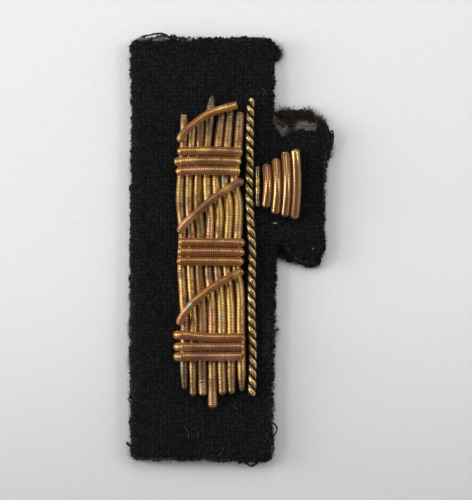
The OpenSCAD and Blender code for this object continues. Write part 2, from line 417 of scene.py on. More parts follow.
WORN_PATCHES = Cloud(2.0, 0.02, 0.6, 0.8)
FILM_PATCHES = Cloud(1.5, 0.05, 0.64, 0.82)
STAIN_PATCHES = Cloud(0.6, 0.13, 0.3, 0.55, 0.65)
METAL_SPECKLE = Cloud(0.3, 0.07, 0.35, 0.7, 0.9, 1.05)
WOOL_SHADES = Cloud(4.0, 0.01, 0.2, 0.8, 0.6)
WOOL_TONE = Cloud(3.0, 0.03, 0.4, 0.68, detail=3.0)
WOOL_SPECKS = Cloud(2.0, 0.09, 0.8, 0.86, detail=1.0)
WOOL_RELIEF = Cloud(1.0, 0.04, detail=3.0)
FIBRE_SHADES = Cloud(0.3, 0.03, 0.3, 0.7, 0.7)
PAPER_GRAIN = Cloud(0.8, 0.0, 0.2, 0.8, detail=3.0)


class Shader:
    """A principled material, filled one node at a time."""

    def __init__(self, name: str) -> None:
        """Starts a material.

        Args:
            name: the material's name.
        """
        self.material = bpy.data.materials.new(name)
        self.material.use_nodes = True
        self.surface = self.material.node_tree.nodes["Principled BSDF"]
        self.place = self.add("ShaderNodeTexCoord").outputs["Object"]

    def add(self, kind: str, *sources: object, **settings: object) -> bpy.types.Node:
        """Adds a node.

        Args:
            kind: the node's type.
            sources: what its first inputs get.
            settings: its properties.

        Returns:
            The node.
        """
        node = self.material.node_tree.nodes.new(kind)
        for name, value in settings.items():
            setattr(node, name, value)
        for socket, source in zip(node.inputs, sources):
            self.feed(socket, source)
        return node

    def feed(self, socket: NodeSocket, source: object) -> None:
        """Links a socket to another one, or sets its value.

        Args:
            socket: the input.
            source: an output socket, a number or a colour.
        """
        if isinstance(source, NodeSocket):
            self.material.node_tree.links.new(source, socket)
        elif isinstance(source, tuple) and len(source) == 3 and socket.type == "RGBA":
            socket.default_value = (*source, 1.0)
        else:
            socket.default_value = source

    def noise(self, cloud: Cloud, shift: float = 0.0, size: float = 1.0) -> NodeSocket:
        """Noise from 0 to 1, not eased.

        Args:
            cloud: the patches.
            shift: moves the pattern further, in metres.
            size: multiplies the grain.

        Returns:
            The noise's value.
        """
        moved = cloud.shift + shift
        place = self.add("ShaderNodeMapping", self.place, (moved, -moved, 0.5 * moved))
        node = self.add("ShaderNodeTexNoise", place.outputs["Vector"])
        node.inputs["Scale"].default_value = 1.0 / (size * cloud.grain * MM)
        node.inputs["Detail"].default_value = cloud.detail
        return node.outputs["Fac"]

    def patches(self, cloud: Cloud, shift: float = 0.0, size: float = 1.0,
                cover: float = 0.0) -> NodeSocket:
        """Patches of noise.

        Args:
            cloud: the patches.
            shift: moves them further, in metres.
            size: multiplies the grain.
            cover: how much of the surface they cover.

        Returns:
            The eased noise.
        """
        less = PATCH_SPAN * cover
        return self.eased(self.noise(cloud, shift, size), cloud.low - less, cloud.high - less,
                          cloud.to_low, cloud.to_high)

    def attribute(self, name: str, part: str = "Fac") -> NodeSocket:
        """A value or colour stored on the piece's vertices."""
        return self.add("ShaderNodeAttribute", attribute_name=name).outputs[part]

    def eased(self, value: NodeSocket, low: float, high: float,
              to_low: float = 0.0, to_high: float = 1.0) -> NodeSocket:
        """Maps a range on to another one, smoothly at both ends."""
        return self.add("ShaderNodeMapRange", value, low, high, to_low, to_high,
                        interpolation_type="SMOOTHSTEP").outputs["Result"]

    def product(self, first: NodeSocket, second: object) -> NodeSocket:
        """Two values multiplied."""
        return self.add("ShaderNodeMath", first, second, operation="MULTIPLY").outputs["Value"]

    def mixed(self, share: object, first: object, second: object, way: str = "MIX") -> NodeSocket:
        """Mixes two colours.

        Args:
            share: how much of the second shows.
            first: the colour below.
            second: the colour above.
            way: the node's blend type.

        Returns:
            The mixed colour.
        """
        node = self.add("ShaderNodeMix", share, data_type="RGBA", blend_type=way)
        for number, colour in zip(MIX_COLOURS, (first, second)):
            self.feed(node.inputs[number], colour)
        return node.outputs[MIX_RESULT]

    def shaded(self, colour: object, factor: object) -> NodeSocket:
        """A colour multiplied by a factor or another colour."""
        return self.mixed(1.0, colour, factor, "MULTIPLY")

    def set(self, **values: object) -> None:
        """Sets or links inputs of the surface; an underscore in a name stands for a space."""
        for name, value in values.items():
            self.feed(self.surface.inputs[name.replace("_", " ")], value)


# What all the metals share
# Colour factor in the grooves between the turns: partly tarnish, partly painted shade
GROOVE_TARNISH_AND_SHADE = (0.60, 0.44, 0.34)
# Painted shade: the colour that points far below the wire's top turn towards, as between the cord's strands
DEPTH_SHADE = (0.09, 0.045, 0.018)
# The pale colour of the crests: partly worn gilding, partly a painted highlight
RUBBED_AND_HIGHLIGHT = (0.86, 0.70, 0.40)
# The metallic share on the wire's sides, under their painted shade
SIDE_METAL = 0.15


@dataclass(frozen=True)
class MetalFinish:
    """A gilded wire, worn and tarnished, with painted shade down its sides, in its grooves and low down, and
    a painted highlight on its crests.
    """

    name: str  # the material's name
    bright: Colour  # the clean metal
    worn: Colour  # the warmer metal where the gilding has gone
    film: Colour  # the dull tarnish
    wear: float  # how much of the surface is worn
    tarnish: float  # how much of the surface is tarnished
    gloss: tuple[float, float]  # the roughness of clean and of tarnished places
    side: Colour  # painted shade and reflection down the wire's sides, in a reddish brown
    metal: tuple[float, float] = (0.88, 0.75)  # the metallic share of clean and of tarnished places
    rubbed_highlight: float = 0.16  # how far the turns' crests are made pale, partly worn gilding and partly a painted highlight
    # Where the painted shade down the sides starts and is full, from 0 at the wire's top to 1 at its side
    sides: tuple[float, float] = (0.25, 0.85)
    pit: float = 3.0  # how far below the wire's highest point the painted shade is full
    shift: float = 0.0  # moves the patches, in metres

    def material(self) -> Material:
        """Builds the material.

        Returns:
            The material.
        """
        shader = Shader(self.name)
        worn = shader.patches(WORN_PATCHES, self.shift, cover=self.wear)
        film = shader.patches(FILM_PATCHES, self.shift, cover=self.tarnish)
        # Painted shade and reflection: the more a point faces sideways, the more it takes the side colour and
        # the less metal it has
        flank_shade = shader.eased(shader.attribute("flank_shade"), *self.sides)
        stain = shader.product(shader.attribute("stain", "Alpha"), shader.patches(STAIN_PATCHES))
        colour = self.bright
        for share, layer in ((worn, self.worn), (film, self.film), (flank_shade, self.side),
                             (stain, shader.attribute("stain", "Color"))):
            colour = shader.mixed(share, colour, layer)
        colour = shader.shaded(colour, shader.patches(METAL_SPECKLE, self.shift))
        colour = shader.shaded(colour, shader.attribute("turn"))
        crest = shader.attribute("crest")
        # The crests are mixed towards a pale colour: partly worn gilding, partly a painted highlight
        colour = shader.mixed(shader.eased(crest, *RUB_HIGHLIGHT_SPAN, 0.0, self.rubbed_highlight), colour, RUBBED_AND_HIGHLIGHT)
        # The grooves between the turns are darkened: partly tarnish, partly painted shade
        colour = shader.mixed(shader.eased(crest, *GROOVE_SHADE_SPAN), shader.shaded(colour, GROOVE_TARNISH_AND_SHADE), colour)
        # Painted shade: the lower a point lies below the wire's top, the darker
        depth = shader.eased(shader.attribute("drop"), DEPTH_SHADE_START * self.pit, self.pit)
        metal = shader.product(shader.eased(film, 0.0, 1.0, *self.metal),
                               shader.eased(flank_shade, 0.0, 1.0, 1.0, SIDE_METAL))
        shader.set(Base_Color=shader.mixed(depth, colour, DEPTH_SHADE), Metallic=metal,
                   Roughness=shader.eased(film, 0.0, 1.0, *self.gloss), Specular_IOR_Level=0.2)
        return shader.material


@dataclass(frozen=True)
class WoolFinish:
    """A fulled cloth."""

    name: str  # the material's name
    dark: Colour  # the colour in the hollows
    light: Colour  # the colour of the raised fibres
    speck: Colour  # the colour of the odd pale fibre
    specks: float  # how much of the surface is pale fibre
    sheen: float = 0.2  # the strength of the soft rim of light
    fibre: float = 0.07  # the size of the finest relief
    depth: float = 0.05  # the depth of that relief
    groove_shade: float = 0.5  # the painted shade between the threads, as a colour factor

    def material(self) -> Material:
        """Builds the material.

        Returns:
            The material.
        """
        shader = Shader(self.name)
        tone = shader.product(shader.patches(WOOL_SHADES), shader.patches(WOOL_TONE, size=self.fibre))
        colour = shader.mixed(tone, self.dark, self.light)
        shade = shader.eased(tone, 0.0, 1.0, STAIN_SHADE, 1.0)
        stain = shader.shaded(shader.attribute("stain", "Color"), shade)
        colour = shader.mixed(shader.attribute("stain", "Alpha"), colour, stain)
        specks = shader.patches(WOOL_SPECKS, size=self.fibre, cover=self.specks)
        colour = shader.mixed(specks, colour, self.speck)
        # Painted shade: the deeper below the woven face, between the threads and down the rolled edge, the
        # darker
        crown = shader.eased(shader.attribute("crest"), *THREAD_SPAN, self.groove_shade, 1.0)
        relief = shader.add("ShaderNodeBump")
        relief.inputs["Distance"].default_value = self.depth * MM
        shader.feed(relief.inputs["Height"], shader.noise(WOOL_RELIEF, size=self.fibre))
        shader.set(Base_Color=shader.shaded(colour, crown), Roughness=0.92, Specular_IOR_Level=0.12,
                   Sheen_Weight=self.sheen, Sheen_Roughness=0.6, Sheen_Tint=self.light,
                   Normal=relief.outputs["Normal"])
        return shader.material


@dataclass(frozen=True)
class FibreFinish:
    """Loose fibres and threads."""

    name: str  # the material's name
    dark: Colour  # one end of the fibres' colours
    light: Colour  # the other end

    def material(self) -> Material:
        """Builds the material.

        Returns:
            The material.
        """
        shader = Shader(self.name)
        colour = shader.mixed(shader.attribute("tone"), self.dark, self.light)
        shader.set(Base_Color=shader.shaded(colour, shader.patches(FIBRE_SHADES)), Roughness=0.75,
                   Specular_IOR_Level=0.3)
        return shader.material


GOLD = MetalFinish("old_gold_purl", (0.53, 0.335, 0.10), (0.45, 0.23, 0.078), (0.23, 0.12, 0.048),
                   wear=0.5, tarnish=0.45, gloss=(0.38, 0.44), side=(0.68, 0.28, 0.075),
                   rubbed_highlight=0.08, sides=(0.35, 0.9))
COPPER = MetalFinish("copper_gold_purl", (0.48, 0.215, 0.062), (0.39, 0.155, 0.055), (0.21, 0.085, 0.043),
                     wear=0.6, tarnish=0.4, gloss=(0.31, 0.37), side=(0.40, 0.13, 0.03),
                     metal=(0.82, 0.7), rubbed_highlight=0.08, sides=(0.15, 0.75), shift=0.11)
BLADE = MetalFinish("red_gold_purl", (0.38, 0.165, 0.042), (0.31, 0.12, 0.035), (0.17, 0.066, 0.028),
                    wear=0.5, tarnish=0.2, gloss=(0.2, 0.28), side=(0.42, 0.13, 0.03),
                    rubbed_highlight=0.2, shift=0.17)
POLL = MetalFinish("grey_gold_purl", (0.60, 0.46, 0.19), (0.18, 0.15, 0.08), (0.045, 0.045, 0.032),
                   wear=0.5, tarnish=0.6, gloss=(0.14, 0.25), side=(0.05, 0.045, 0.03), shift=0.23)
CORD = MetalFinish("bright_gold_twist", (0.66, 0.48, 0.21), (0.50, 0.33, 0.13), (0.22, 0.13, 0.05),
                   wear=0.35, tarnish=0.1, gloss=(0.16, 0.26), side=(0.36, 0.2, 0.06),
                   rubbed_highlight=0.2, sides=(0.1, 0.7), pit=0.6, shift=0.31)

BLACK_WOOL = WoolFinish("black_wool", (0.001, 0.0015, 0.0015), (0.0175, 0.0205, 0.019), (0.11, 0.11, 0.10),
                        specks=0.15, sheen=0.3, fibre=0.1, groove_shade=0.22)
BACK_WOOL = WoolFinish("black_backing", (0.003, 0.003, 0.004), (0.014, 0.015, 0.016), (0.05, 0.05, 0.05),
                       specks=0.0)
PALE_FELT = WoolFinish("pale_interlining", (0.34, 0.29, 0.21), (0.72, 0.65, 0.53), (0.75, 0.72, 0.65),
                       specks=0.3, depth=0.06)

BLACK_FIBRE = FibreFinish("black_fibre", (0.002, 0.003, 0.003), (0.030, 0.034, 0.033))
EDGE_FIBRE = FibreFinish("edge_fibre", (0.002, 0.002, 0.003), (0.045, 0.047, 0.053))
GREY_FIBRE = FibreFinish("grey_fibre", (0.03, 0.035, 0.033), (0.12, 0.13, 0.12))
BROWN_FIBRE = FibreFinish("brown_fibre", (0.005, 0.003, 0.003), (0.085, 0.06, 0.045))
PALE_FIBRE = FibreFinish("pale_fibre", (0.30, 0.26, 0.19), (0.88, 0.82, 0.70))
TAN_FIBRE = FibreFinish("tan_fibre", (0.16, 0.08, 0.045), (0.60, 0.50, 0.33))


class Film(Enum):
    """What age leaves on gilded wire and where the black has gone from the wool; the gilt and rose films also
    paint some highlights.
    """

    GILT_AND_HIGHLIGHT = (0.80, 0.55, 0.17)
    ROSE_AND_HIGHLIGHT = (0.70, 0.36, 0.21)
    OLIVE = (0.27, 0.22, 0.08)
    PLUM = (0.19, 0.085, 0.07)
    VERDIGRIS = (0.33, 0.37, 0.28)
    SOOT = (0.085, 0.065, 0.06)
    BROWN_WOOL = (0.05, 0.036, 0.026)
    GREY_WOOL = (0.024, 0.024, 0.031)


GILT_AND_HIGHLIGHT, ROSE_AND_HIGHLIGHT, OLIVE, PLUM, VERDIGRIS, SOOT, BROWN_WOOL, GREY_WOOL = Film


@dataclass(frozen=True)
class Stain:
    """A place where one film lies on the wires or a cloth."""

    film: Film  # what lies there
    x: float  # its middle
    y: float
    wide: float  # its half width and half height
    high: float
    strength: float  # how much of the surface it hides


def stained(places: Rows, stains: Sequence[Stain]) -> Rows:
    """Lays stains over places.

    Args:
        places: rows of X, Y and Z.
        stains: the stains, the lowest first.

    Returns:
        Rows of red, green, blue and the share that is hidden.
    """
    colours = np.zeros((len(places), 4))
    for stain in stains:
        gap = (places[:, :2] - (stain.x, stain.y)) / (stain.wide, stain.high)
        here = stain.strength * np.exp(-(gap**2).sum(axis=1) ** STAIN_FALLOFF)
        hidden = here + (1.0 - here) * colours[:, 3]
        mix = (here / np.maximum(hidden, 1e-6))[:, None]
        colours[:, :3] = mix * stain.film.value + (1.0 - mix) * colours[:, :3]
        colours[:, 3] = hidden
    return colours


@dataclass(frozen=True)
class Pull:
    """A place where a wire is pulled open or squeezed."""

    place: Spot  # its middle
    reach: float  # how far it reaches
    factor: float  # the factor there


def pulled(places: Rows, pulls: Sequence[Pull]) -> Rows:
    """The factor of some pulls at places.

    Args:
        places: rows that start with X and Y.
        pulls: the pulls.

    Returns:
        One factor for each row, 1 away from the pulls.
    """
    factors = np.ones(len(places))
    for pull in pulls:
        gap = np.linalg.norm(places[:, :2] - pull.place, axis=1) / pull.reach
        factors += (pull.factor - 1.0) * np.exp(-(gap**2))
    return factors


@dataclass(frozen=True)
class Wear:
    """What age has done to some wires."""

    stains: Sequence[Stain] = ()  # the films on them
    loose: Sequence[Pull] = ()  # where their turns are pulled apart
    slim: Sequence[Pull] = ()  # where they are thinner
    cut_ends: Sequence[Spot] = ()  # the ends that stay open; the others close in a dome


@dataclass(frozen=True)
class Gauge:
    """How a purl is wound."""

    pitch: float  # the distance from turn to turn
    facets: int  # the faces in one turn
    sides: int  # the faces round the fine wire
    depth: float  # half the fine wire's thickness
    unrest: float  # how far a turn strays from its place
    glint: float = 0.08  # how much the turns differ in brightness


class PurlKind(Enum):
    """The kinds of wound wire on the badge."""

    ROD = Gauge(0.245, 14, 5, 0.08, 0.007)
    BAND = Gauge(0.345, 14, 8, 0.085, 0.006)
    FINE = Gauge(0.25, 14, 5, 0.08, 0.005)
    POLL = Gauge(0.24, 12, 8, 0.10, 0.04, 0.5)
    TWIST = Gauge(0.16, 10, 5, 0.05, 0.01)


@dataclass
class Purl:
    """A fine wire wound into a tight tube, which lies in place of a CAD wire."""

    node: Object  # the CAD wire that it replaces
    gauge: Gauge  # how it is wound
    wear: Wear  # what age has done to it
    seed: int  # seeds its unevenness

    def __post_init__(self) -> None:
        """Reads the wire's middle line."""
        self.course = Course.of_node(self.node)
        self.orbit = self.course.radius - self.gauge.depth

    def _turn(self) -> Mesh:
        """Winds one turn of the fine wire.

        Returns:
            The turn, which rises by the pitch along Z.
        """
        gauge = self.gauge
        bm = bmesh.new()
        bmesh.ops.create_circle(bm, segments=gauge.sides, radius=1.0)
        for vert in bm.verts:
            vert.co.x = math.copysign(abs(vert.co.x) ** CREST_POWER, vert.co.x)
        bmesh.ops.scale(bm, verts=bm.verts, vec=(gauge.depth, TURN_OVERLAP * gauge.pitch, 1.0))
        bmesh.ops.rotate(bm, verts=bm.verts, matrix=Matrix.Rotation(math.pi / 2, 3, "X"))
        bmesh.ops.translate(bm, verts=bm.verts, vec=(self.orbit, 0.0, 0.0))
        bmesh.ops.spin(bm, geom=[*bm.verts, *bm.edges], axis=(0.0, 0.0, 1.0), angle=2 * math.pi,
                       dvec=(0.0, 0.0, gauge.pitch / gauge.facets), steps=gauge.facets)
        return closed(bm, bpy.data.meshes.new(self.node.name + "_coil"))

    def _spacing(self) -> tuple[Rows, Rows]:
        """Spaces the turns along the wire.

        Returns:
            The turns' numbers and their places along the wire.
        """
        course = self.course
        closeness = 1.0 / pulled(course.rows, self.wear.loose)
        steps = np.diff(course.reach) * 0.5 * (closeness[1:] + closeness[:-1]) / self.gauge.pitch
        turns = np.r_[0.0, np.cumsum(steps)]
        count = max(FEWEST_TURNS, round(turns[-1]))
        numbers = np.arange(count + 1)
        places = np.interp(numbers / count, turns / turns[-1], course.reach)
        strays = np.random.default_rng(self.seed).normal(0.0, self.gauge.unrest, count + 1)
        strays[[0, -1]] = 0.0
        return numbers, places + strays

    def _dome(self, along: Rows) -> Rows:
        """How much of its section the purl keeps towards its ends.

        Args:
            along: distances along the wire.

        Returns:
            The shares, 1 away from the ends.
        """
        course = self.course
        shares = np.ones_like(along)
        for end, gap in ((course.rows[0, :2], along), (course.rows[-1, :2], course.length - along)):
            if any(math.dist(end, cut) < CUT_END_REACH for cut in self.wear.cut_ends):
                continue
            rest = 1.0 - np.clip(gap / (DOME_REACH * course.radius), 0.0, 1.0)
            shares = np.minimum(shares, np.sqrt(np.maximum(1.0 - rest**2, SMALLEST_TURN**2)))
        return shares

    def build(self) -> Object:
        """Winds the purl.

        Returns:
            The finished piece.
        """
        gauge = self.gauge
        course = self.course
        numbers, turn_places = self._spacing()
        mesh = repeated(self._turn(), int(numbers[-1]), gauge.pitch, joined=True)
        straight = vertex_places(mesh)
        angle = np.arctan2(straight[:, 1], straight[:, 0])
        part = angle / (2 * math.pi)
        turn = part + np.round(straight[:, 2] / gauge.pitch - part)
        distance = np.hypot(straight[:, 0], straight[:, 1])
        along = np.interp(turn, numbers, turn_places) + straight[:, 2] - turn * gauge.pitch
        rng = np.random.default_rng(self.seed + 1)
        swell = np.interp(turn, numbers, 1.0 + rng.normal(0.0, SWELL * gauge.unrest, len(numbers)))
        slim = np.interp(along, course.reach, pulled(course.rows, self.wear.slim))
        share = self._dome(along) * slim * swell * distance / course.radius
        places = course.bend(along, share * np.cos(angle), share * np.sin(angle))
        outward = unit(places - course.bend(along, 0.0 * share, 0.0 * share))
        glints = rng.uniform(1.0 - gauge.glint, 1.0 + gauge.glint, len(numbers) + 2)
        move_vertices(mesh, places * MM)
        for name, values in {
            "crest": (distance - self.orbit) / gauge.depth,
            "turn": glints[np.floor(turn + 1.0).astype(int)],
            # How far each point faces sideways, for the painted shade down the sides
            "flank_shade": 1.0 - np.clip(outward[:, 2], 0.0, 1.0),
            # Depth below the wire's top, for the painted shade low down
            "drop": places[:, 2].max() - places[:, 2],
            "stain": stained(places, self.wear.stains),
        }.items():
            write_attribute(mesh, name, values)
        bm = bmesh.new()
        bm.from_mesh(mesh)
        bmesh.ops.holes_fill(bm, edges=bm.edges, sides=0)
        bmesh.ops.recalc_face_normals(bm, faces=bm.faces)
        for face in bm.faces:
            face.smooth = True
        closed(bm, mesh).set_sharp_from_angle(angle=SHARP_EDGE)
        return linked(self.node.name + "_coil", mesh)


def hand_over(piece: Object, material: Material, slot: str, *nodes: str) -> Object:
    """Dresses a piece and ties it to the frame.

    Args:
        piece: the finished piece.
        material: its material.
        slot: the record's slot of its finish; not used.
        nodes: the CAD nodes that it stands for.

    Returns:
        The same piece.
    """
    piece.data.materials.clear()
    piece.data.materials.append(material)
    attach(piece, BODY)
    if nodes:
        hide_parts(*nodes)
    LOG.info("%s: %d faces", piece.name, len(piece.data.polygons))
    return piece


@dataclass
class WireGroup:
    """Purls that share a finish and their wear."""

    wires: dict[str, PurlKind]  # the kind of each CAD wire by name
    finish: MetalFinish  # their metal
    slot: str  # the record's slot of that metal
    seed: int  # seeds the first; each of the others adds one
    wear: Wear = Wear()  # what age has done to them

    def build(self, nodes: Nodes) -> None:
        """Winds and dresses every purl.

        Args:
            nodes: the CAD nodes by name.
        """
        material = self.finish.material()
        for seed, (name, kind) in enumerate(self.wires.items(), start=self.seed):
            hand_over(Purl(nodes[name], kind.value, self.wear, seed).build(), material, self.slot, name)


class Outline:
    """The edge of a cloth's CAD solid, seen from above."""

    def __init__(self, node: Object) -> None:
        """Reads the outline from the solid's flat top.

        Args:
            node: the CAD cloth.
        """
        bm = welded(node)
        others = [face for face in bm.faces if face.normal.z < UPWARD]
        bmesh.ops.delete(bm, geom=others, context="FACES")
        first = loop = next(loop for face in bm.faces for loop in face.loops if loop.edge.is_boundary)
        corners = []
        while not corners or loop != first:
            corners.append(tuple(loop.vert.co.xy))
            loop = loop.link_loop_next
            while not loop.edge.is_boundary:
                loop = loop.link_loop_radial_next.link_loop_next
        bm.free()
        self.corners = np.array(corners) / MM
        self.low = self.corners.min(axis=0)
        self.high = self.corners.max(axis=0)
        ahead = np.roll(self.corners, -1, axis=0)
        self.ways = ahead - self.corners
        self.outward = unit(np.column_stack([self.ways[:, 1], -self.ways[:, 0]]))
        crossed = self.corners[:, 0] * ahead[:, 1] - self.corners[:, 1] * ahead[:, 0]
        self.area = float(abs(crossed.sum()) / 2)
        self.bottom, self.top = (corner.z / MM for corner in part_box(node.name))

    def nearest(self, places: Rows) -> tuple[Rows, Rows, Rows]:
        """Measures places against the outline.

        Args:
            places: rows of X and Y.

        Returns:
            The depth inside the outline, the nearest points on it, and the ways outward there.
        """
        depths = np.empty(len(places))
        points = np.empty((len(places), 2))
        outwards = np.empty((len(places), 2))
        lengths = (self.ways**2).sum(axis=1)
        tips = self.corners + self.ways
        rise = np.where(self.ways[:, 1] == 0, 1.0, self.ways[:, 1])
        for start in range(0, len(places), ROWS_AT_ONCE):
            part = slice(start, start + ROWS_AT_ONCE)
            here = places[part, None, :2]
            share = np.clip(((here - self.corners) * self.ways).sum(axis=2) / lengths, 0.0, 1.0)
            foot = self.corners + share[..., None] * self.ways
            gap = np.linalg.norm(here - foot, axis=2)
            best = gap.argmin(axis=1)
            rows = np.arange(len(best))
            across = (self.corners[:, 1] > here[..., 1]) != (tips[:, 1] > here[..., 1])
            meets = self.corners[:, 0] + (here[..., 1] - self.corners[:, 1]) / rise * self.ways[:, 0]
            inside = (across & (here[..., 0] < meets)).sum(axis=1) % 2 == 1
            depths[part] = np.where(inside, 1.0, -1.0) * gap[rows, best]
            points[part] = foot[rows, best]
            outwards[part] = self.outward[best]
        return depths, points, outwards

    def along(self, spacing: float, seed: int) -> tuple[Rows, Rows]:
        """Picks places along the outline at random.

        Args:
            spacing: the mean distance from one to the next.
            seed: seeds the choice.

        Returns:
            The places and the ways outward there.
        """
        lengths = np.linalg.norm(self.ways, axis=1)
        reach = np.r_[0.0, np.cumsum(lengths)]
        rng = np.random.default_rng(seed)
        picks = np.sort(rng.uniform(0.0, reach[-1], int(reach[-1] / spacing)))
        side = np.clip(np.searchsorted(reach, picks, side="right") - 1, 0, len(lengths) - 1)
        share = ((picks - reach[side]) / lengths[side])[:, None]
        return self.corners[side] + share * self.ways[side], self.outward[side]


class Face(Enum):
    """The face of a cloth that shows its weave."""

    TOP = 1
    UNDER = -1


@dataclass(frozen=True)
class Weave:
    """The relief of a cloth."""

    pitch: float  # the distance from thread to thread
    depth: float  # how far the hollows lie below the crowns
    felting: float  # the depth of the uneven fulling on top
    cell: float  # the size of the grid that carries it

    def hollow(self, places: Rows, seed: float) -> Rows:
        """How far the surface lies below its crowns.

        Args:
            places: rows of X and Y.
            seed: shifts the unevenness.

        Returns:
            The depths.
        """
        threads = [places[:, axis] / self.pitch + SWAY * self.pitch * cloudy(places, SWAY_GRAIN, seed + drift)
                   for axis, drift in enumerate(SWAY_DRIFTS)]
        bulge_across, bulge_down = (np.cos(math.pi * (thread - np.floor(thread) - 0.5)) for thread in threads)
        warp_on_top = sum(np.floor(thread) for thread in threads) % 2 == 0
        flat = 1.0 - THREAD_BULGE
        crown = np.where(warp_on_top, bulge_across * (flat + THREAD_BULGE * bulge_down),
                         bulge_down * (flat + THREAD_BULGE * bulge_across))
        lumps = 0.5 + 0.5 * cloudy(places, LUMP_GRAIN, seed + LUMP_DRIFT)
        return self.depth * (1.0 - crown) + self.felting * lumps


@dataclass
class ClothLayer:
    """One of the three cloths, cut inside its CAD outline."""

    node: Object  # the CAD cloth that it replaces
    name: str  # the piece's name
    slot: str  # the record's slot of its finish
    finish: WoolFinish  # its cloth
    weave: Weave  # its relief
    seed: float  # seeds its unevenness
    roll: float  # how far the cut edge is rounded
    stains: Sequence[Stain]  # where its colour has changed
    rests_on: Sequence[str] = ()  # what it lies on
    face: Face = Face.TOP  # the face that shows the weave

    def __post_init__(self) -> None:
        """Reads the outline."""
        self.outline = Outline(self.node)

    def _level(self, share: float) -> float:
        """The height at a share of the thickness from the woven face to the plain one."""
        start, end = (self.outline.top, self.outline.bottom)[:: self.face.value]
        return start + share * (end - start)

    def _ragged(self, edge: Rows, outward: Rows, share: float) -> Rows:
        """Moves points of the cut edge in and out, as its yarns end.

        Args:
            edge: rows of X and Y on the outline.
            outward: the ways outward there.
            share: the share of the thickness from the woven face to the plain one.

        Returns:
            The moved points.
        """
        level = np.column_stack([edge, np.full(len(edge), RAG_DRIFT * share)])
        ends = np.cos(2 * math.pi * edge / self.weave.pitch)
        stray = YARN_ENDS * (ends * np.abs(outward[:, ::-1])).sum(axis=1)
        for depth, grain, drift in RAGS:
            stray += depth * cloudy(level, grain, self.seed + drift)
        return edge + stray[:, None] * outward

    def _woven_face(self) -> Mesh:
        """Weaves the face that shows.

        Returns:
            The face, cut to the outline.
        """
        size = self.outline.high - self.outline.low
        cells = np.ceil(size / self.weave.cell).astype(int)
        middle = (self.outline.low + self.outline.high) / 2
        frame = Matrix.Translation((*middle, 0.0)) @ Matrix.Diagonal((*size, 1.0, 1.0))
        bm = bmesh.new()
        bmesh.ops.create_grid(bm, x_segments=int(cells[0]), y_segments=int(cells[1]), size=0.5,
                              matrix=frame)
        mesh = bpy.data.meshes.new(self.name)
        bm.to_mesh(mesh)
        places = vertex_places(mesh)
        depth, edge, outward = self.outline.nearest(places)
        kept = depth > SLIVER * self.weave.cell
        places[~kept, :2] = self._ragged(edge, outward, 0.0)[~kept]
        depth = np.maximum(depth, 0.0)
        hollow = self.weave.hollow(places[:, :2], self.seed)
        drop = self.roll * (1.0 - np.sqrt(1.0 - (1.0 - np.minimum(depth / self.roll, 1.0)) ** 2))
        places[:, 2] = self._level(0.0) - self.face.value * (hollow + ROLL_DEPTH * drop)
        for vert, place in zip(bm.verts, places):
            vert.co = place
        cut = [face for face in bm.faces if not any(kept[vert.index] for vert in face.verts)]
        bmesh.ops.delete(bm, geom=cut, context="FACES")
        return closed(bm, mesh)

    def build(self) -> None:
        """Cuts, weaves and dresses the cloth."""
        mesh = self._woven_face()
        bm = bmesh.new()
        bm.from_mesh(mesh)
        rim = [edge for edge in bm.edges if edge.is_boundary]
        for share, bulge in EDGE_STEPS:
            made = bmesh.ops.extrude_edge_only(bm, edges=rim)["geom"]
            rim = [item for item in made if isinstance(item, BMEdge) and item.is_boundary]
            verts = list(dict.fromkeys(vert for edge in rim for vert in edge.verts))
            places = np.array([vert.co for vert in verts])
            _, edge_points, outward = self.outline.nearest(places)
            places[:, :2] = self._ragged(edge_points, outward, share) + bulge * outward
            places[:, 2] = self._level(share)
            for vert, place in zip(verts, places):
                vert.co = place
        bmesh.ops.holes_fill(bm, edges=rim, sides=0)
        bmesh.ops.recalc_face_normals(bm, faces=bm.faces)
        for face in bm.faces:
            face.smooth = len(face.verts) <= QUAD
        places = vertex_places(closed(bm, mesh))
        # How deep each point lies below the woven face, which the material turns into painted shade
        write_attribute(mesh, "crest", -np.abs(places[:, 2] - self._level(0.0)) / self.weave.depth)
        write_attribute(mesh, "stain", stained(places, self.stains))
        mesh.transform(Matrix.Scale(MM, 4))
        self.piece = hand_over(linked(self.name, mesh), self.finish.material(), self.slot, self.node.name)


def straight_fibres(name: str, count: int, rings: int) -> tuple[Mesh, Rows]:
    """Makes fibres that still have to be bent.

    Args:
        name: the mesh's name.
        count: how many fibres.
        rings: rings of vertices along each of them.

    Returns:
        The mesh, and for each fibre a row for each vertex: X and Y on the unit circle, then the
        share of the way from root to tip.
    """
    bm = bmesh.new()
    bmesh.ops.create_circle(bm, segments=FIBRE_SIDES, radius=1.0, cap_ends=True)
    top = bm.faces[:]
    for _ in range(rings - 1):
        made = bmesh.ops.extrude_face_region(bm, geom=top)["geom"]
        verts = [item for item in made if isinstance(item, BMVert)]
        top = [item for item in made if isinstance(item, BMFace)]
        bmesh.ops.translate(bm, verts=verts, vec=(0.0, 0.0, 1.0))
    bmesh.ops.recalc_face_normals(bm, faces=bm.faces)
    step = 2.0 * rings
    mesh = repeated(closed(bm, bpy.data.meshes.new(name)), count, step, joined=False)
    mesh.name = name
    local = vertex_places(mesh).reshape(count, FIBRE_SIDES * rings, 3)
    local[:, :, 2] -= step * np.arange(count)[:, None]
    local[:, :, 2] /= rings - 1
    return mesh, local


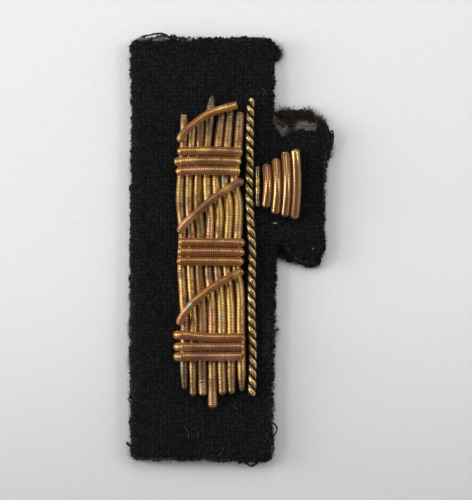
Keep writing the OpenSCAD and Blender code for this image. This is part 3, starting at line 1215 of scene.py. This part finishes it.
def bent_fibres(mesh: Mesh, places: Rows, tones: Rows) -> Object:
    """Gives fibres their last shape.

    Args:
        mesh: the straight fibres.
        places: the vertices' places.
        tones: how light each fibre is, from 0 to 1.

    Returns:
        The finished piece.
    """
    places = places.reshape(-1, 3)
    places[:, 2] = np.maximum(places[:, 2], LOWEST_FIBRE)
    move_vertices(mesh, places * MM)
    write_attribute(mesh, "tone", np.repeat(tones, len(mesh.vertices) // len(tones)))
    mesh.polygons.foreach_set("use_smooth", np.ones(len(mesh.polygons), bool))
    return linked(mesh.name, mesh)


@dataclass(frozen=True)
class Fuzz:
    """How loose fibres grow."""

    lengths: tuple[float, float]  # the shortest and the longest
    radius: float  # half a fibre's thickness at its root
    rise: tuple[float, float]  # the lowest and the highest angle above the cloth, in degrees
    fan: float  # how far they turn from straight out, in degrees
    curl: float  # how strongly they bend

    def grow(self, name: str, roots: Rows, outward: Rows, seed: int) -> Object:
        """Grows one fibre from every root.

        Args:
            name: the piece's name.
            roots: rows of X, Y and Z.
            outward: rows of X and Y, the ways in which they lean.
            seed: seeds their unevenness.

        Returns:
            One piece with all the fibres.
        """
        rng = np.random.default_rng(seed)
        count = len(roots)
        mesh, local = straight_fibres(name, count, FIBRE_RINGS)
        share = local[:, :, 2:]
        turn = np.radians(rng.uniform(-self.fan, self.fan, count))
        rise = np.radians(rng.uniform(*self.rise, count))
        flat = unit(outward)
        lean = np.column_stack([flat[:, 0] * np.cos(turn) - flat[:, 1] * np.sin(turn),
                                flat[:, 0] * np.sin(turn) + flat[:, 1] * np.cos(turn)])
        ahead = np.column_stack([lean * np.cos(rise)[:, None], np.sin(rise)])
        side = unit(np.cross(ahead, rng.normal(size=(count, 3))))
        above = np.cross(ahead, side)[:, None]
        side = side[:, None]
        length = rng.uniform(*self.lengths, count)[:, None, None]
        hook = self.curl * rng.uniform(-1.0, 1.0, (count, 1, 2))
        wave = 0.5 * self.curl * rng.uniform(-1.0, 1.0, (count, 1, 2)) * np.sin(math.pi * share)
        radius = self.radius * (1.0 - FIBRE_TAPER * share)
        line = (share * ahead[:, None] + (hook[..., :1] * share**2 + wave[..., :1]) * side
                + (hook[..., 1:] * share**2 + wave[..., 1:]) * above)
        places = roots[:, None] + length * line + radius * (local[:, :, :1] * side + local[:, :, 1:2] * above)
        return bent_fibres(mesh, places, rng.uniform(0.0, 1.0, count))


@dataclass(frozen=True)
class Tuft:
    """A clump of frayed fibres at a cut edge."""

    x: float  # its middle
    y: float
    wide: float  # its half width and half height
    high: float
    fibres: int  # how many there are
    lean: float  # the way in which they point, in degrees from X
    on_top: bool  # whether they lie on the cloth and not in its cut edge


@dataclass(frozen=True)
class Yarn:
    """A loose end of yarn, as fibres twisted round one line."""

    points: Sequence[Place]  # the places that it passes
    width: float  # its thickness
    fibres: int  # how many fibres it has
    twist: float = 0.35  # turns for each millimetre

    def lay(self, name: str, radius: float, seed: int) -> Object:
        """Lays the fibres along the line.

        Args:
            name: the piece's name.
            radius: half a fibre's thickness.
            seed: seeds their unevenness.

        Returns:
            The finished piece.
        """
        rng = np.random.default_rng(seed)
        course = Course(np.array(self.points, dtype=float))
        fewest, each_point = YARN_RINGS
        mesh, local = straight_fibres(name, self.fibres, fewest + each_point * len(self.points))
        each = (self.fibres, 1)
        start = rng.uniform(*YARN_START, each)
        end = rng.uniform(*YARN_END, each)
        share = local[:, :, 2]
        along = (start + share * (end - start)) * course.length
        stray = rng.uniform(*YARN_WAVES, (self.fibres, 3)) * math.pi
        spread_out = 0.5 * self.width * rng.uniform(*YARN_FILL, each)
        spread_out = spread_out * (1.0 + 0.5 * np.sin(stray[:, :1] * share * 2 + stray[:, 1:2]))
        spread_out += YARN_FLARE * self.width * (2 * share - 1) ** 6
        angle = (rng.uniform(0.0, 2 * math.pi, each) + 2 * math.pi * self.twist * along
                 + np.sin(stray[:, 2:] * share))
        side = spread_out * np.cos(angle) + radius * local[:, :, 0]
        above = spread_out * np.sin(angle) + radius * local[:, :, 1]
        places = course.bend(along.ravel(), side.ravel(), above.ravel())
        return bent_fibres(mesh, places, rng.uniform(0.0, 1.0, self.fibres))


def stains(*rows: tuple) -> tuple[Stain, ...]:
    """Stains from rows of film, X, Y, half width, half height and strength."""
    return tuple(Stain(*row) for row in rows)


def tufts(on_top: bool, *rows: tuple) -> tuple[Tuft, ...]:
    """Tufts from rows of X, Y, half width, half height, fibres and lean."""
    return tuple(Tuft(*row, on_top) for row in rows)


GROUND_TUFTS = tufts(
    False,
    (-16.72, -13.1, 0.33, 1.15, 90, 180), (-16.64, -18.37, 0.33, 1.15, 80, 180),
    (-16.64, -31.88, 0.33, 0.49, 50, 190), (-15.32, -34.18, 0.82, 0.33, 50, 270),
    (14.99, 20.18, 0.49, 0.99, 70, 20), (16.14, 18.04, 0.49, 1.48, 90, 0),
    (12.52, 22.49, 0.66, 0.49, 50, 110), (7.41, -2.55, 0.49, 1.15, 60, 0), (15.16, 1.4, 0.33, 0.49, 30, 0),
    (-2.8, -34.18, 0.82, 0.33, 40, 270), (3.29, -35.01, 0.99, 0.33, 60, 270),
    (-13.34, 34.84, 1.48, 0.25, 50, 90),
)
WORN_EDGES = tufts(
    True,
    (5.9, -14.6, 0.8, 5.0, 240, 0), (6.2, -26.5, 0.6, 6.0, 100, 0), (-16.2, -14.0, 0.5, 16.0, 300, 180),
    (-12.0, -34.4, 4.5, 0.3, 110, 270), (-3.0, -34.6, 4.0, 0.3, 90, 270), (15.6, 12.0, 0.4, 8.0, 110, 0),
)
BACK_TUFTS = tufts(
    False,
    (7.58, 32.54, 0.66, 1.32, 260, 0),
) + tufts(
    True,
    (7.6, 22.2, 0.7, 0.4, 90, 110), (9.2, 22.4, 1.4, 0.5, 380, 92), (12.9, 22.3, 1.2, 0.6, 320, 75),
    (14.6, 21.2, 0.9, 0.9, 200, 50),
) + tufts(
    False,
    (13.34, -2.06, 1.32, 0.49, 180, 270), (8.24, -0.58, 1.15, 0.66, 130, 250),
    (10.87, -1.57, 1.15, 0.49, 80, 265), (-15.82, -33.2, 1.15, 0.82, 80, 240),
    (6.75, -13.76, 0.33, 2.31, 110, 0), (16.31, 16.39, 0.33, 1.48, 50, 0),
)
LINING_TUFTS = tufts(
    True,
    (11.5, 22.1, 0.7, 0.7, 50, 80), (11.2, 20.2, 0.5, 0.4, 67, 60), (12.2, 20.5, 0.5, 0.5, 90, 100),
    (13.3, 20.2, 0.5, 0.4, 75, 80), (14.2, 20.0, 0.4, 0.4, 52, 110), (8.6, 20.0, 0.6, 0.5, 60, 20),
) + tufts(
    False,
    (-12.03, 34.76, 0.99, 0.16, 30, 90), (-10.54, 34.43, 0.66, 0.16, 20, 90),
    (-7.91, -34.18, 0.99, 0.25, 70, 270), (-5.11, -34.35, 1.32, 0.16, 50, 270),
    (6.75, -13.76, 0.25, 1.98, 50, 0), (6.26, -15.9, 0.33, 0.25, 20, 0), (6.75, -29.74, 0.25, 0.66, 20, 0),
)
COVER_TUFTS = tufts(
    True,
    (9.4, 21.5, 0.9, 2.0, 230, 100), (9.9, 19.4, 0.9, 0.6, 60, 80), (12.9, 22.2, 2.6, 0.4, 110, 90),
    (12.4, 20.1, 2.6, 0.5, 45, 90), (9.0, -0.2, 1.6, 1.2, 160, 250), (12.4, -1.4, 2.8, 0.5, 120, 260),
)
TAN_TUFTS = tufts(
    True,
    (7.2, 20.8, 0.7, 0.7, 70, 45),
) + tufts(
    False,
    (5.93, -34.18, 0.99, 0.49, 70, 300), (9.72, 0.25, 0.66, 0.82, 30, 230),
    (11.53, -1.48, 0.66, 0.33, 24, 250), (5.93, -28.91, 0.33, 0.82, 36, 0),
)
LOOSE_YARNS = (
    Yarn(((-14.83, 34.93, 2.2), (-14.0, 35.24, 2.4), (-13.01, 35.45, 2.5), (-12.03, 35.54, 2.5),
          (-11.53, 35.67, 2.6), (-10.87, 35.42, 2.5), (-10.21, 35.07, 2.5), (-9.23, 34.84, 2.4),
          (-8.24, 34.81, 2.4), (-7.41, 34.74, 2.3)), 0.34, 18),
    Yarn(((-12.19, 35.4, 2.4), (-11.7, 35.6, 2.6), (-11.2, 35.4, 2.7), (-10.54, 35.11, 2.5),
          (-9.88, 34.84, 2.4)), 0.3, 10),
    Yarn(((15.32, 16.39, 2.0), (15.98, 16.39, 1.9), (16.47, 16.8, 1.8), (16.8, 17.79, 1.8),
          (16.84, 18.86, 1.9), (16.72, 19.6, 2.0), (16.47, 19.36, 2.2), (16.14, 18.9, 2.3),
          (16.01, 18.2, 2.2), (16.11, 17.38, 2.1), (16.31, 16.72, 2.0)), 0.3, 16),
    Yarn(((6.59, -30.89, 1.4), (7.25, -30.48, 1.4), (7.61, -29.74, 1.5), (7.41, -29.08, 1.7),
          (7.0, -28.67, 1.9), (6.59, -28.83, 2.0)), 0.26, 14),
    Yarn(((6.92, -13.84, 1.4), (7.41, -13.51, 1.4), (7.84, -13.03, 1.5)), 0.5, 22),
    Yarn(((-3.62, -34.35, 1.2), (-2.97, -34.73, 1.1), (-2.31, -34.89, 1.1), (-1.65, -34.51, 1.2)), 0.36, 18),
    Yarn(((2.31, -35.17, 1.2), (2.97, -35.6, 1.0), (3.54, -35.77, 1.0), (4.28, -35.26, 1.2)), 0.42, 22),
    Yarn(((-16.39, -32.7, 1.2), (-16.8, -32.21, 1.3), (-17.22, -31.85, 1.4), (-17.13, -32.21, 1.5),
          (-16.64, -32.45, 1.4)), 0.32, 18),
    Yarn(((6.67, 28.58, 1.6), (7.0, 28.39, 1.5), (7.35, 28.42, 1.5)), 0.3, 14),
    Yarn(((-16.47, -25.21, 1.4), (-16.84, -24.96, 1.3), (-17.0, -24.66, 1.3)), 0.2, 8),
    Yarn(((12.03, 23.34, 1.3), (12.52, 22.98, 1.4), (13.1, 22.49, 1.3)), 0.3, 12),
)
LINT = (
    Yarn(((6.95, 4.3, 2.66), (7.25, 4.38, 2.72), (7.58, 4.32, 2.66)), 0.12, 6),
    Yarn(((11.29, 14.2, 2.66), (11.47, 14.05, 2.7), (11.4, 13.86, 2.66)), 0.1, 4),
    Yarn(((13.38, 0.25, 2.62), (13.51, 0.12, 2.68), (13.57, 0.02, 2.62)), 0.08, 3),
)
HAIRS = (
    Yarn(((-7.71, -28.91, 2.64), (-7.41, -29.57, 2.72), (-7.05, -29.98, 2.7), (-7.03, -31.05, 2.64)), 0.1, 4),
    Yarn(((-1.15, -32.62, 2.62), (-1.57, -33.28, 2.7), (-1.98, -33.94, 2.6)), 0.08, 3),
    Yarn(((-5.55, -30.07, 2.64), (-5.47, -30.56, 2.7), (-5.57, -31.05, 2.64)), 0.08, 3),
    Yarn(((0.82, -25.12, 2.64), (0.49, -25.62, 2.72), (0.74, -26.28, 2.64)), 0.08, 3),
    Yarn(((5.11, 26.61, 2.64), (5.52, 26.11, 2.72), (5.35, 25.45, 2.66)), 0.08, 3),
)
GROUND_STAINS = stains(
    (GREY_WOOL, -16.6, 18.0, 1.4, 22.0, 0.8), (GREY_WOOL, -16.7, -14.0, 1.5, 22.0, 1.0),
)
LINING_STAINS = stains(
    (BROWN_WOOL, 9.5, 21.6, 1.0, 2.6, 1.0), (BROWN_WOOL, 10.0, 19.3, 1.3, 1.0, 1.0),
    (BROWN_WOOL, 12.9, 22.3, 2.8, 1.0, 0.95), (BROWN_WOOL, 7.4, 19.2, 0.8, 0.7, 0.8),
    (BROWN_WOOL, 9.5, -0.5, 3.5, 2.2, 1.0), (BROWN_WOOL, 13.2, -1.6, 2.6, 1.0, 0.95),
)
BACK_STAINS = stains(
    (BROWN_WOOL, 7.74, 32.37, 0.82, 1.48, 0.9), (BROWN_WOOL, 11.7, 21.99, 4.28, 1.48, 0.8),
    (BROWN_WOOL, 13.34, -2.06, 1.65, 0.99, 0.8), (BROWN_WOOL, -15.65, -33.2, 1.48, 0.99, 0.6),
    (BROWN_WOOL, 6.75, -14.09, 0.66, 2.97, 0.7), (BROWN_WOOL, 6.43, -28.91, 0.99, 1.48, 0.6),
)
ROD_STAINS = stains(
    (SOOT, -8.07, 8.15, 0.82, 8.24, 0.5), (OLIVE, -4.94, 3.87, 0.82, 2.14, 0.75),
    (GILT_AND_HIGHLIGHT, -3.95, 10.46, 0.82, 1.48, 0.6), (ROSE_AND_HIGHLIGHT, -3.46, 3.54, 0.82, 2.47, 0.6),
    (VERDIGRIS, -1.07, 11.61, 0.58, 0.82, 0.8), (OLIVE, 1.73, 7.33, 0.41, 4.94, 0.5),
    (PLUM, -3.46, -3.87, 2.14, 1.32, 0.8), (GILT_AND_HIGHLIGHT, -0.99, -10.96, 1.32, 4.94, 0.45),
    (ROSE_AND_HIGHLIGHT, -4.12, -12.27, 1.32, 4.28, 0.65), (SOOT, -7.74, -21.0, 1.1, 3.6, 1.0),
    (PLUM, -4.78, -20.84, 0.74, 3.29, 0.55), (OLIVE, 0.33, -20.51, 0.49, 2.97, 0.6),
    (PLUM, 1.48, -22.82, 0.82, 1.48, 0.8), (PLUM, -3.3, -22.2, 7.0, 4.0, 0.5),
    (PLUM, -1.5, 21.0, 7.0, 3.4, 0.65), (OLIVE, -3.1, 25.0, 0.9, 1.9, 1.0),
    (SOOT, -3.1, 25.4, 1.2, 2.6, 1.0), (SOOT, -3.29, 20.68, 0.99, 0.99, 0.9),
    (SOOT, 0.16, 21.66, 2.64, 0.99, 0.75), (PLUM, -7.41, 21.66, 0.82, 1.32, 0.6),
    (VERDIGRIS, -1.65, -10.96, 0.58, 0.66, 0.6), (GILT_AND_HIGHLIGHT, -0.16, 6.18, 1.32, 2.97, 0.35),
    (ROSE_AND_HIGHLIGHT, -2.97, -24.79, 0.82, 1.65, 0.5),
)
# The gilt spots at (-4.61, 16.23) and (-0.82, 22.98) and the rose spot at (-7.74, -10.13) are painted
# highlights; the rest are films of age.
BINDING_STAINS = stains(
    (PLUM, -3.0, -17.3, 8.0, 2.2, 0.55), (PLUM, -3.0, -1.0, 8.0, 2.2, 0.15),
    (GILT_AND_HIGHLIGHT, -4.61, 16.23, 1.15, 0.49, 0.7), (PLUM, -0.49, 15.73, 2.47, 0.58, 0.55),
    (GILT_AND_HIGHLIGHT, -6.92, 14.74, 1.65, 0.49, 0.7), (PLUM, -4.45, 14.58, 0.82, 0.66, 0.65),
    (GILT_AND_HIGHLIGHT, 1.48, 14.91, 0.99, 0.82, 0.5), (ROSE_AND_HIGHLIGHT, -5.77, 13.1, 2.14, 0.66, 0.6),
    (OLIVE, -2.14, 13.1, 0.82, 0.66, 0.85), (GILT_AND_HIGHLIGHT, 0.49, 13.1, 1.15, 0.66, 0.6),
    (OLIVE, -8.73, -17.55, 0.66, 0.82, 0.6), (GILT_AND_HIGHLIGHT, -7.25, -16.72, 0.82, 0.66, 0.4),
    (PLUM, -5.11, -17.71, 0.82, 0.66, 0.6), (ROSE_AND_HIGHLIGHT, -1.15, -17.71, 2.47, 0.66, 0.6),
    (GILT_AND_HIGHLIGHT, -8.73, 18.04, 0.66, 1.15, 0.6), (PLUM, -7.41, 19.69, 0.49, 0.49, 0.8),
    (GILT_AND_HIGHLIGHT, -0.82, 22.98, 2.47, 0.66, 0.5), (ROSE_AND_HIGHLIGHT, -7.25, 4.53, 1.32, 1.48, 0.8),
    (PLUM, -4.28, 7.33, 1.48, 1.32, 0.75), (GILT_AND_HIGHLIGHT, -0.66, 9.97, 0.99, 0.66, 0.7),
    (PLUM, 1.15, 10.96, 0.66, 0.82, 0.8), (ROSE_AND_HIGHLIGHT, -7.74, -10.13, 0.49, 0.66, 0.8),
    (VERDIGRIS, -6.84, -9.06, 0.58, 0.66, 0.95), (GILT_AND_HIGHLIGHT, 0.99, -4.2, 0.66, 0.66, 0.8),
    (PLUM, -8.4, -12.27, 0.66, 0.82, 0.5), (PLUM, 2.31, 0.91, 0.82, 0.82, 0.6),
)
BLADE_STAINS = stains(
    (PLUM, 6.1, 13.92, 0.66, 0.49, 0.4), (PLUM, 8.57, 7.33, 0.82, 1.32, 0.4),
    (ROSE_AND_HIGHLIGHT, 10.21, 9.8, 0.66, 2.97, 0.4), (GILT_AND_HIGHLIGHT, 10.71, 15.57, 0.82, 1.15, 0.5),
    (PLUM, 10.38, 5.85, 0.66, 0.82, 0.45),
)
# The gilt spot in the middle of the poll is partly gilt and partly painted glints.
POLL_STAINS = stains(
    (SOOT, 4.9, 13.4, 1.2, 1.9, 0.9), (GILT_AND_HIGHLIGHT, 4.9, 10.2, 1.2, 1.2, 1.0), (SOOT, 4.9, 7.4, 1.2, 1.6, 0.7),
)
LOOSE_TURNS = (Pull((-3.7, -23.9), 1.9, 1.7), Pull((-3.9, 10.7), 1.0, 1.35), Pull((-0.4, 6.2), 1.0, 1.3))
SLIM_PLACES = (Pull((-3.1, 25.3), 1.4, 0.5), Pull((-7.7, 22.6), 0.9, 0.7), Pull((-7.6, -22.5), 2.2, 0.72),
               Pull((1.5, -22.9), 1.6, 0.6))
CUT_ENDS = ((-7.7, 22.2), (1.0, 23.7), (1.85, 12.85))


@dataclass(frozen=True)
class Softbox:
    """A square light that faces the badge."""

    name: str  # the light's name
    place: Place  # where it stands, in metres
    size: float  # its side, in metres
    power: float  # its power, in watts
    colour: Colour  # its colour

    def build(self) -> None:
        """Adds the light."""
        data = bpy.data.lights.new(self.name, "AREA")
        data.size = self.size
        data.energy = self.power
        data.color = self.colour
        light = linked(self.name, data)
        light.location = self.place
        light.rotation_euler = Vector(self.place).to_track_quat("Z", "Y").to_euler()


@dataclass(frozen=True)
class Studio:
    """The camera straight above, the soft light and the pale floor."""

    view_middle: Spot = (0.82, -0.08)  # the point under the camera
    view_height: float = 82.37  # what the picture takes in from top to bottom
    camera_height: float = 450.0  # the camera's height above the wires
    wires_top: float = 2.65  # the wires' height above the badge's back
    floor_gap: float = 0.02  # how far the floor lies below the badge
    room_left: float = 1.95  # the room's brightness low down on the left
    room_right: float = 1.25  # the room's brightness low down on the right
    room_high: float = 0.22  # the room's brightness overhead and beyond the badge's top and foot
    room_colour: Colour = (0.98, 0.98, 1.0)  # its colour
    # The floor's darkest and lightest colour
    paper: tuple[Colour, Colour] = ((0.80, 0.79, 0.81), (0.83, 0.82, 0.84))
    # The lamps
    lights: Sequence[Softbox] = (
        Softbox("left_light", (-0.34, 0.12, 0.36), 0.12, 0.54, (1.0, 0.99, 0.97)),
        Softbox("right_light", (0.34, 0.14, 0.36), 0.12, 0.45, (1.0, 0.99, 0.98)),
        Softbox("low_light", (-0.42, 0.04, 0.14), 0.16, 0.76, (1.0, 0.99, 0.97)),
        Softbox("far_light", (0.0, 0.16, 0.2), 0.16, 0.18, (0.98, 0.99, 1.0)),
    )

    def _camera(self) -> None:
        """Sets the camera."""
        data = bpy.data.cameras.new("camera")
        data.sensor_width = 36.0
        data.lens = data.sensor_width * self.camera_height / self.view_height
        data.clip_start = 0.01
        data.clip_end = 5.0
        camera = linked("camera", data)
        camera.location = Vector((*self.view_middle, self.camera_height + self.wires_top)) * MM
        bpy.context.scene.camera = camera

    def _room(self) -> None:
        """Lights the room round the badge, most of all from both sides."""
        world = bpy.data.worlds.new("room")
        world.use_nodes = True
        nodes = world.node_tree.nodes
        links = world.node_tree.links
        room = nodes["Background"]
        room.inputs["Color"].default_value = (*self.room_colour, 1.0)
        parts = nodes.new("ShaderNodeSeparateXYZ")
        links.new(nodes.new("ShaderNodeTexCoord").outputs["Object"], parts.inputs[0])
        sides = []
        for limits in ((*ROOM_LEFT_SPAN, self.room_left, self.room_high),
                       (*ROOM_RIGHT_SPAN, 0.0, self.room_right)):
            side = nodes.new("ShaderNodeMapRange")
            side.interpolation_type = "SMOOTHSTEP"
            for socket, value in zip(side.inputs[1:5], limits):
                socket.default_value = value
            links.new(parts.outputs["X"], side.inputs[0])
            sides.append(side)
        links.new(sides[0].outputs["Result"], sides[1].inputs["To Min"])
        links.new(sides[1].outputs["Result"], room.inputs["Strength"])
        bpy.context.scene.world = world

    def _floor(self) -> None:
        """Lays the floor."""
        bm = bmesh.new()
        bmesh.ops.create_grid(bm, x_segments=1, y_segments=1, size=1.0)
        bmesh.ops.translate(bm, verts=bm.verts, vec=(0.0, 0.0, -self.floor_gap * MM))
        floor = linked("floor", closed(bm, bpy.data.meshes.new("floor")))
        shader = Shader("pale_paper")
        paper = shader.mixed(shader.patches(PAPER_GRAIN), *self.paper)
        place = shader.add("ShaderNodeSeparateXYZ", shader.place)
        # Painted shade: the floor's colour darkens towards its foot, along -Y
        shade = shader.eased(place.outputs["Y"], *FLOOR_SHADE)
        shader.set(Base_Color=shader.shaded(paper, shade), Roughness=0.9, Specular_IOR_Level=0.1)
        floor.data.materials.append(shader.material)

    def build(self) -> None:
        """Sets up camera, lights, world and floor."""
        self._camera()
        for light in self.lights:
            light.build()
        self._room()
        bpy.context.scene.view_settings.view_transform = "Standard"
        self._floor()


def numbered(name: str, count: int) -> list[str]:
    """The names of pieces that are numbered from 1."""
    return [f"{name}_{number}" for number in range(1, count + 1)]


@dataclass
class Emblem:
    """The rods, their bands and slanting wires, the blade, its poll and the cord."""

    nodes: Nodes  # the CAD nodes by name
    rods: int = 7  # how many rods there are
    bands: Sequence[str] = ("upper", "middle", "lower")  # where the bands lie
    turns: int = 3  # the wires in each band
    slants: int = 3  # how many slanting wires there are
    blades: int = 4  # how many wires the blade has
    strands: int = 2  # how many strands the cord has

    def build(self) -> None:
        """Winds every wire."""
        rods = dict.fromkeys(numbered("rod", self.rods), PurlKind.ROD)
        bands = [name for band in self.bands for name in numbered(f"{band}_band", self.turns)]
        binding = dict.fromkeys(bands, PurlKind.BAND)
        binding.update(dict.fromkeys(numbered("slant_wire", self.slants), PurlKind.FINE))
        blade = dict.fromkeys(numbered("blade_wire", self.blades), PurlKind.FINE)
        cord = dict.fromkeys(numbered("cord_strand", self.strands), PurlKind.TWIST)
        for group in (
            WireGroup(rods, GOLD, "gold_purl", 100, Wear(ROD_STAINS, LOOSE_TURNS, SLIM_PLACES, CUT_ENDS)),
            WireGroup(binding, COPPER, "copper_purl", 200, Wear(BINDING_STAINS, cut_ends=CUT_ENDS)),
            WireGroup(blade, BLADE, "blade_purl", 300, Wear(BLADE_STAINS)),
            WireGroup({"poll_wire": PurlKind.POLL}, POLL, "poll_purl", 400, Wear(POLL_STAINS)),
            WireGroup(cord, CORD, "twisted_cord", 500),
        ):
            group.build(self.nodes)


@dataclass(frozen=True)
class Trim:
    """Loose fibres of one look on one cloth."""

    layer: ClothLayer  # the cloth
    name: str  # the piece's name, or the start of the pieces' names
    finish: FibreFinish  # the fibres' look
    seed: int  # seeds them

    def _dressed(self, piece: Object) -> Object:
        """Dresses a piece in the finish."""
        return hand_over(piece, self.finish.material(), self.layer.slot)

    def edge(self, fuzz: Fuzz, spacing: float) -> Object:
        """Grows fibres along the cut edge.

        Args:
            fuzz: how they grow.
            spacing: the mean distance between them.

        Returns:
            The finished piece.
        """
        outline = self.layer.outline
        places, outward = outline.along(spacing, self.seed)
        rng = np.random.default_rng(self.seed + 1)
        height = rng.uniform(outline.bottom + ROOT_FLOOR, outline.top - ROOT_CEILING, len(places))
        roots = np.column_stack([places - ROOT_INSET * outward, height])
        return self._dressed(fuzz.grow(self.name, roots, outward, self.seed + 2))

    def nap(self, fuzz: Fuzz, count: int) -> Object:
        """Grows fibres that lie on the woven face.

        Args:
            fuzz: how they grow.
            count: how many are tried.

        Returns:
            The finished piece.
        """
        outline = self.layer.outline
        rng = np.random.default_rng(self.seed)
        places = rng.uniform(outline.low, outline.high, (count, 2))
        depth, _, _ = outline.nearest(places)
        places = places[depth > NAP_INSET]
        angle = rng.uniform(0.0, 2 * math.pi, len(places))
        height = outline.top - self.layer.weave.hollow(places, self.layer.seed) - NAP_DEPTH
        lean = np.column_stack([np.cos(angle), np.sin(angle)])
        roots = np.column_stack([places, height])
        return self._dressed(fuzz.grow(self.name, roots, lean, self.seed + 1))

    def tufts(self, fuzz: Fuzz, tufts: Sequence[Tuft]) -> Object:
        """Grows clumps of frayed fibres.

        Args:
            fuzz: how they grow.
            tufts: the clumps.

        Returns:
            The finished piece.
        """
        outline = self.layer.outline
        rng = np.random.default_rng(self.seed)
        rows = []
        for tuft in tufts:
            stray = rng.normal(0.0, TUFT_SPREAD, (tuft.fibres, 2)) * (tuft.wide, tuft.high)
            places = (tuft.x, tuft.y) + stray
            depth, edge, outward = outline.nearest(places)
            places = np.where(depth[:, None] < TUFT_INSET, edge - TUFT_INSET * outward, places)
            lowest = outline.top - TUFT_LAYER if tuft.on_top else outline.bottom + TUFT_FLOOR
            height = rng.uniform(lowest, outline.top - TUFT_CEILING, tuft.fibres)
            angle = np.full(tuft.fibres, math.radians(tuft.lean))
            rows.append(np.column_stack([places, height, np.cos(angle), np.sin(angle)]))
        rows = np.vstack(rows)
        return self._dressed(fuzz.grow(self.name, rows[:, :3], rows[:, 3:], self.seed + 1))

    def yarns(self, yarns: Sequence[Yarn], radius: float) -> list[Object]:
        """Lays loose ends of yarn.

        Args:
            yarns: the ends.
            radius: half a fibre's thickness.

        Returns:
            The finished pieces.
        """
        material = self.finish.material()
        return [hand_over(yarn.lay(f"{self.name}_{number}", radius, self.seed + number), material,
                          self.layer.slot) for number, yarn in enumerate(yarns, start=1)]


@dataclass
class Patch:
    """The three cloths and the loose fibres on them."""

    nodes: Nodes  # the CAD nodes by name
    # Short stiff fibres along a dark cut edge
    fringe: Fuzz = Fuzz((0.25, 0.75), 0.04, (-20.0, 70.0), 75.0, 0.9)
    edge: Fuzz = Fuzz((0.2, 0.8), 0.024, (-40.0, 45.0), 60.0, 0.7)  # finer ones along the pale edge
    nap: Fuzz = Fuzz((0.3, 0.8), 0.022, (-4.0, 14.0), 0.0, 0.6)  # fibres lying on the wool
    matted: Fuzz = Fuzz((0.4, 1.3), 0.025, (-5.0, 35.0), 55.0, 1.0)  # clumps of felted fibre
    frayed: Fuzz = Fuzz((0.3, 1.0), 0.026, (-25.0, 40.0), 50.0, 0.8)  # ends of loose threads

    def build(self) -> None:
        """Cuts the cloths and grows their fibres."""
        ground = ClothLayer(self.nodes["ground_cloth"], "ground_wool", "ground_cloth", BLACK_WOOL,
                            Weave(0.7, 0.08, 0.04, 0.175), 3.0, 0.3, GROUND_STAINS, ["interlining_felt"])
        lining = ClothLayer(self.nodes["interlining"], "interlining_felt", "interlining", PALE_FELT,
                            Weave(0.5, 0.02, 0.05, 0.34), 13.0, 0.15, LINING_STAINS, ["back_wool"])
        back = ClothLayer(self.nodes["back_cloth"], "back_wool", "back_cloth", BACK_WOOL,
                          Weave(0.62, 0.05, 0.03, 0.26), 23.0, 0.25, BACK_STAINS, face=Face.UNDER)
        for layer in (ground, lining, back):
            layer.build()
        ground_trim = [
            Trim(ground, "ground_edge_fuzz", EDGE_FIBRE, 31).edge(self.fringe, 0.038),
            Trim(ground, "ground_nap", BLACK_FIBRE, 41).nap(self.nap, 2600),
            Trim(ground, "ground_curls", GREY_FIBRE, 43).nap(self.nap, 260),
            Trim(ground, "ground_tufts", BLACK_FIBRE, 61).tufts(self.frayed, GROUND_TUFTS),
            Trim(ground, "worn_edges", GREY_FIBRE, 65).tufts(self.frayed, WORN_EDGES),
            *Trim(ground, "loose_yarn", BLACK_FIBRE, 71).yarns(LOOSE_YARNS, 0.05),
            *Trim(ground, "lint", PALE_FIBRE, 81).yarns(LINT, 0.03),
            *Trim(ground, "hair", GREY_FIBRE, 86).yarns(HAIRS, 0.022),
        ]
        lining_trim = [
            Trim(lining, "lining_edge_fuzz", PALE_FIBRE, 91).edge(self.edge, 0.25),
            Trim(lining, "lining_tufts", PALE_FIBRE, 95).tufts(self.frayed, LINING_TUFTS),
            Trim(lining, "tan_tufts", TAN_FIBRE, 97).tufts(self.frayed, TAN_TUFTS),
            Trim(lining, "cover_tufts", BROWN_FIBRE, 99).tufts(self.matted, COVER_TUFTS),
        ]
        back_trim = [
            Trim(back, "back_edge_fuzz", EDGE_FIBRE, 51).edge(self.fringe, 0.085),
            Trim(back, "back_tufts", BROWN_FIBRE, 55).tufts(self.matted, BACK_TUFTS),
        ]


def main() -> None:
    """Builds the badge and its studio."""
    logging.basicConfig(level=logging.INFO, format="%(message)s")
    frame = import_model()
    Studio().build()
    Patch(frame["nodes"]).build()
    Emblem(frame["nodes"]).build()


if __name__ == "__main__":
    main()
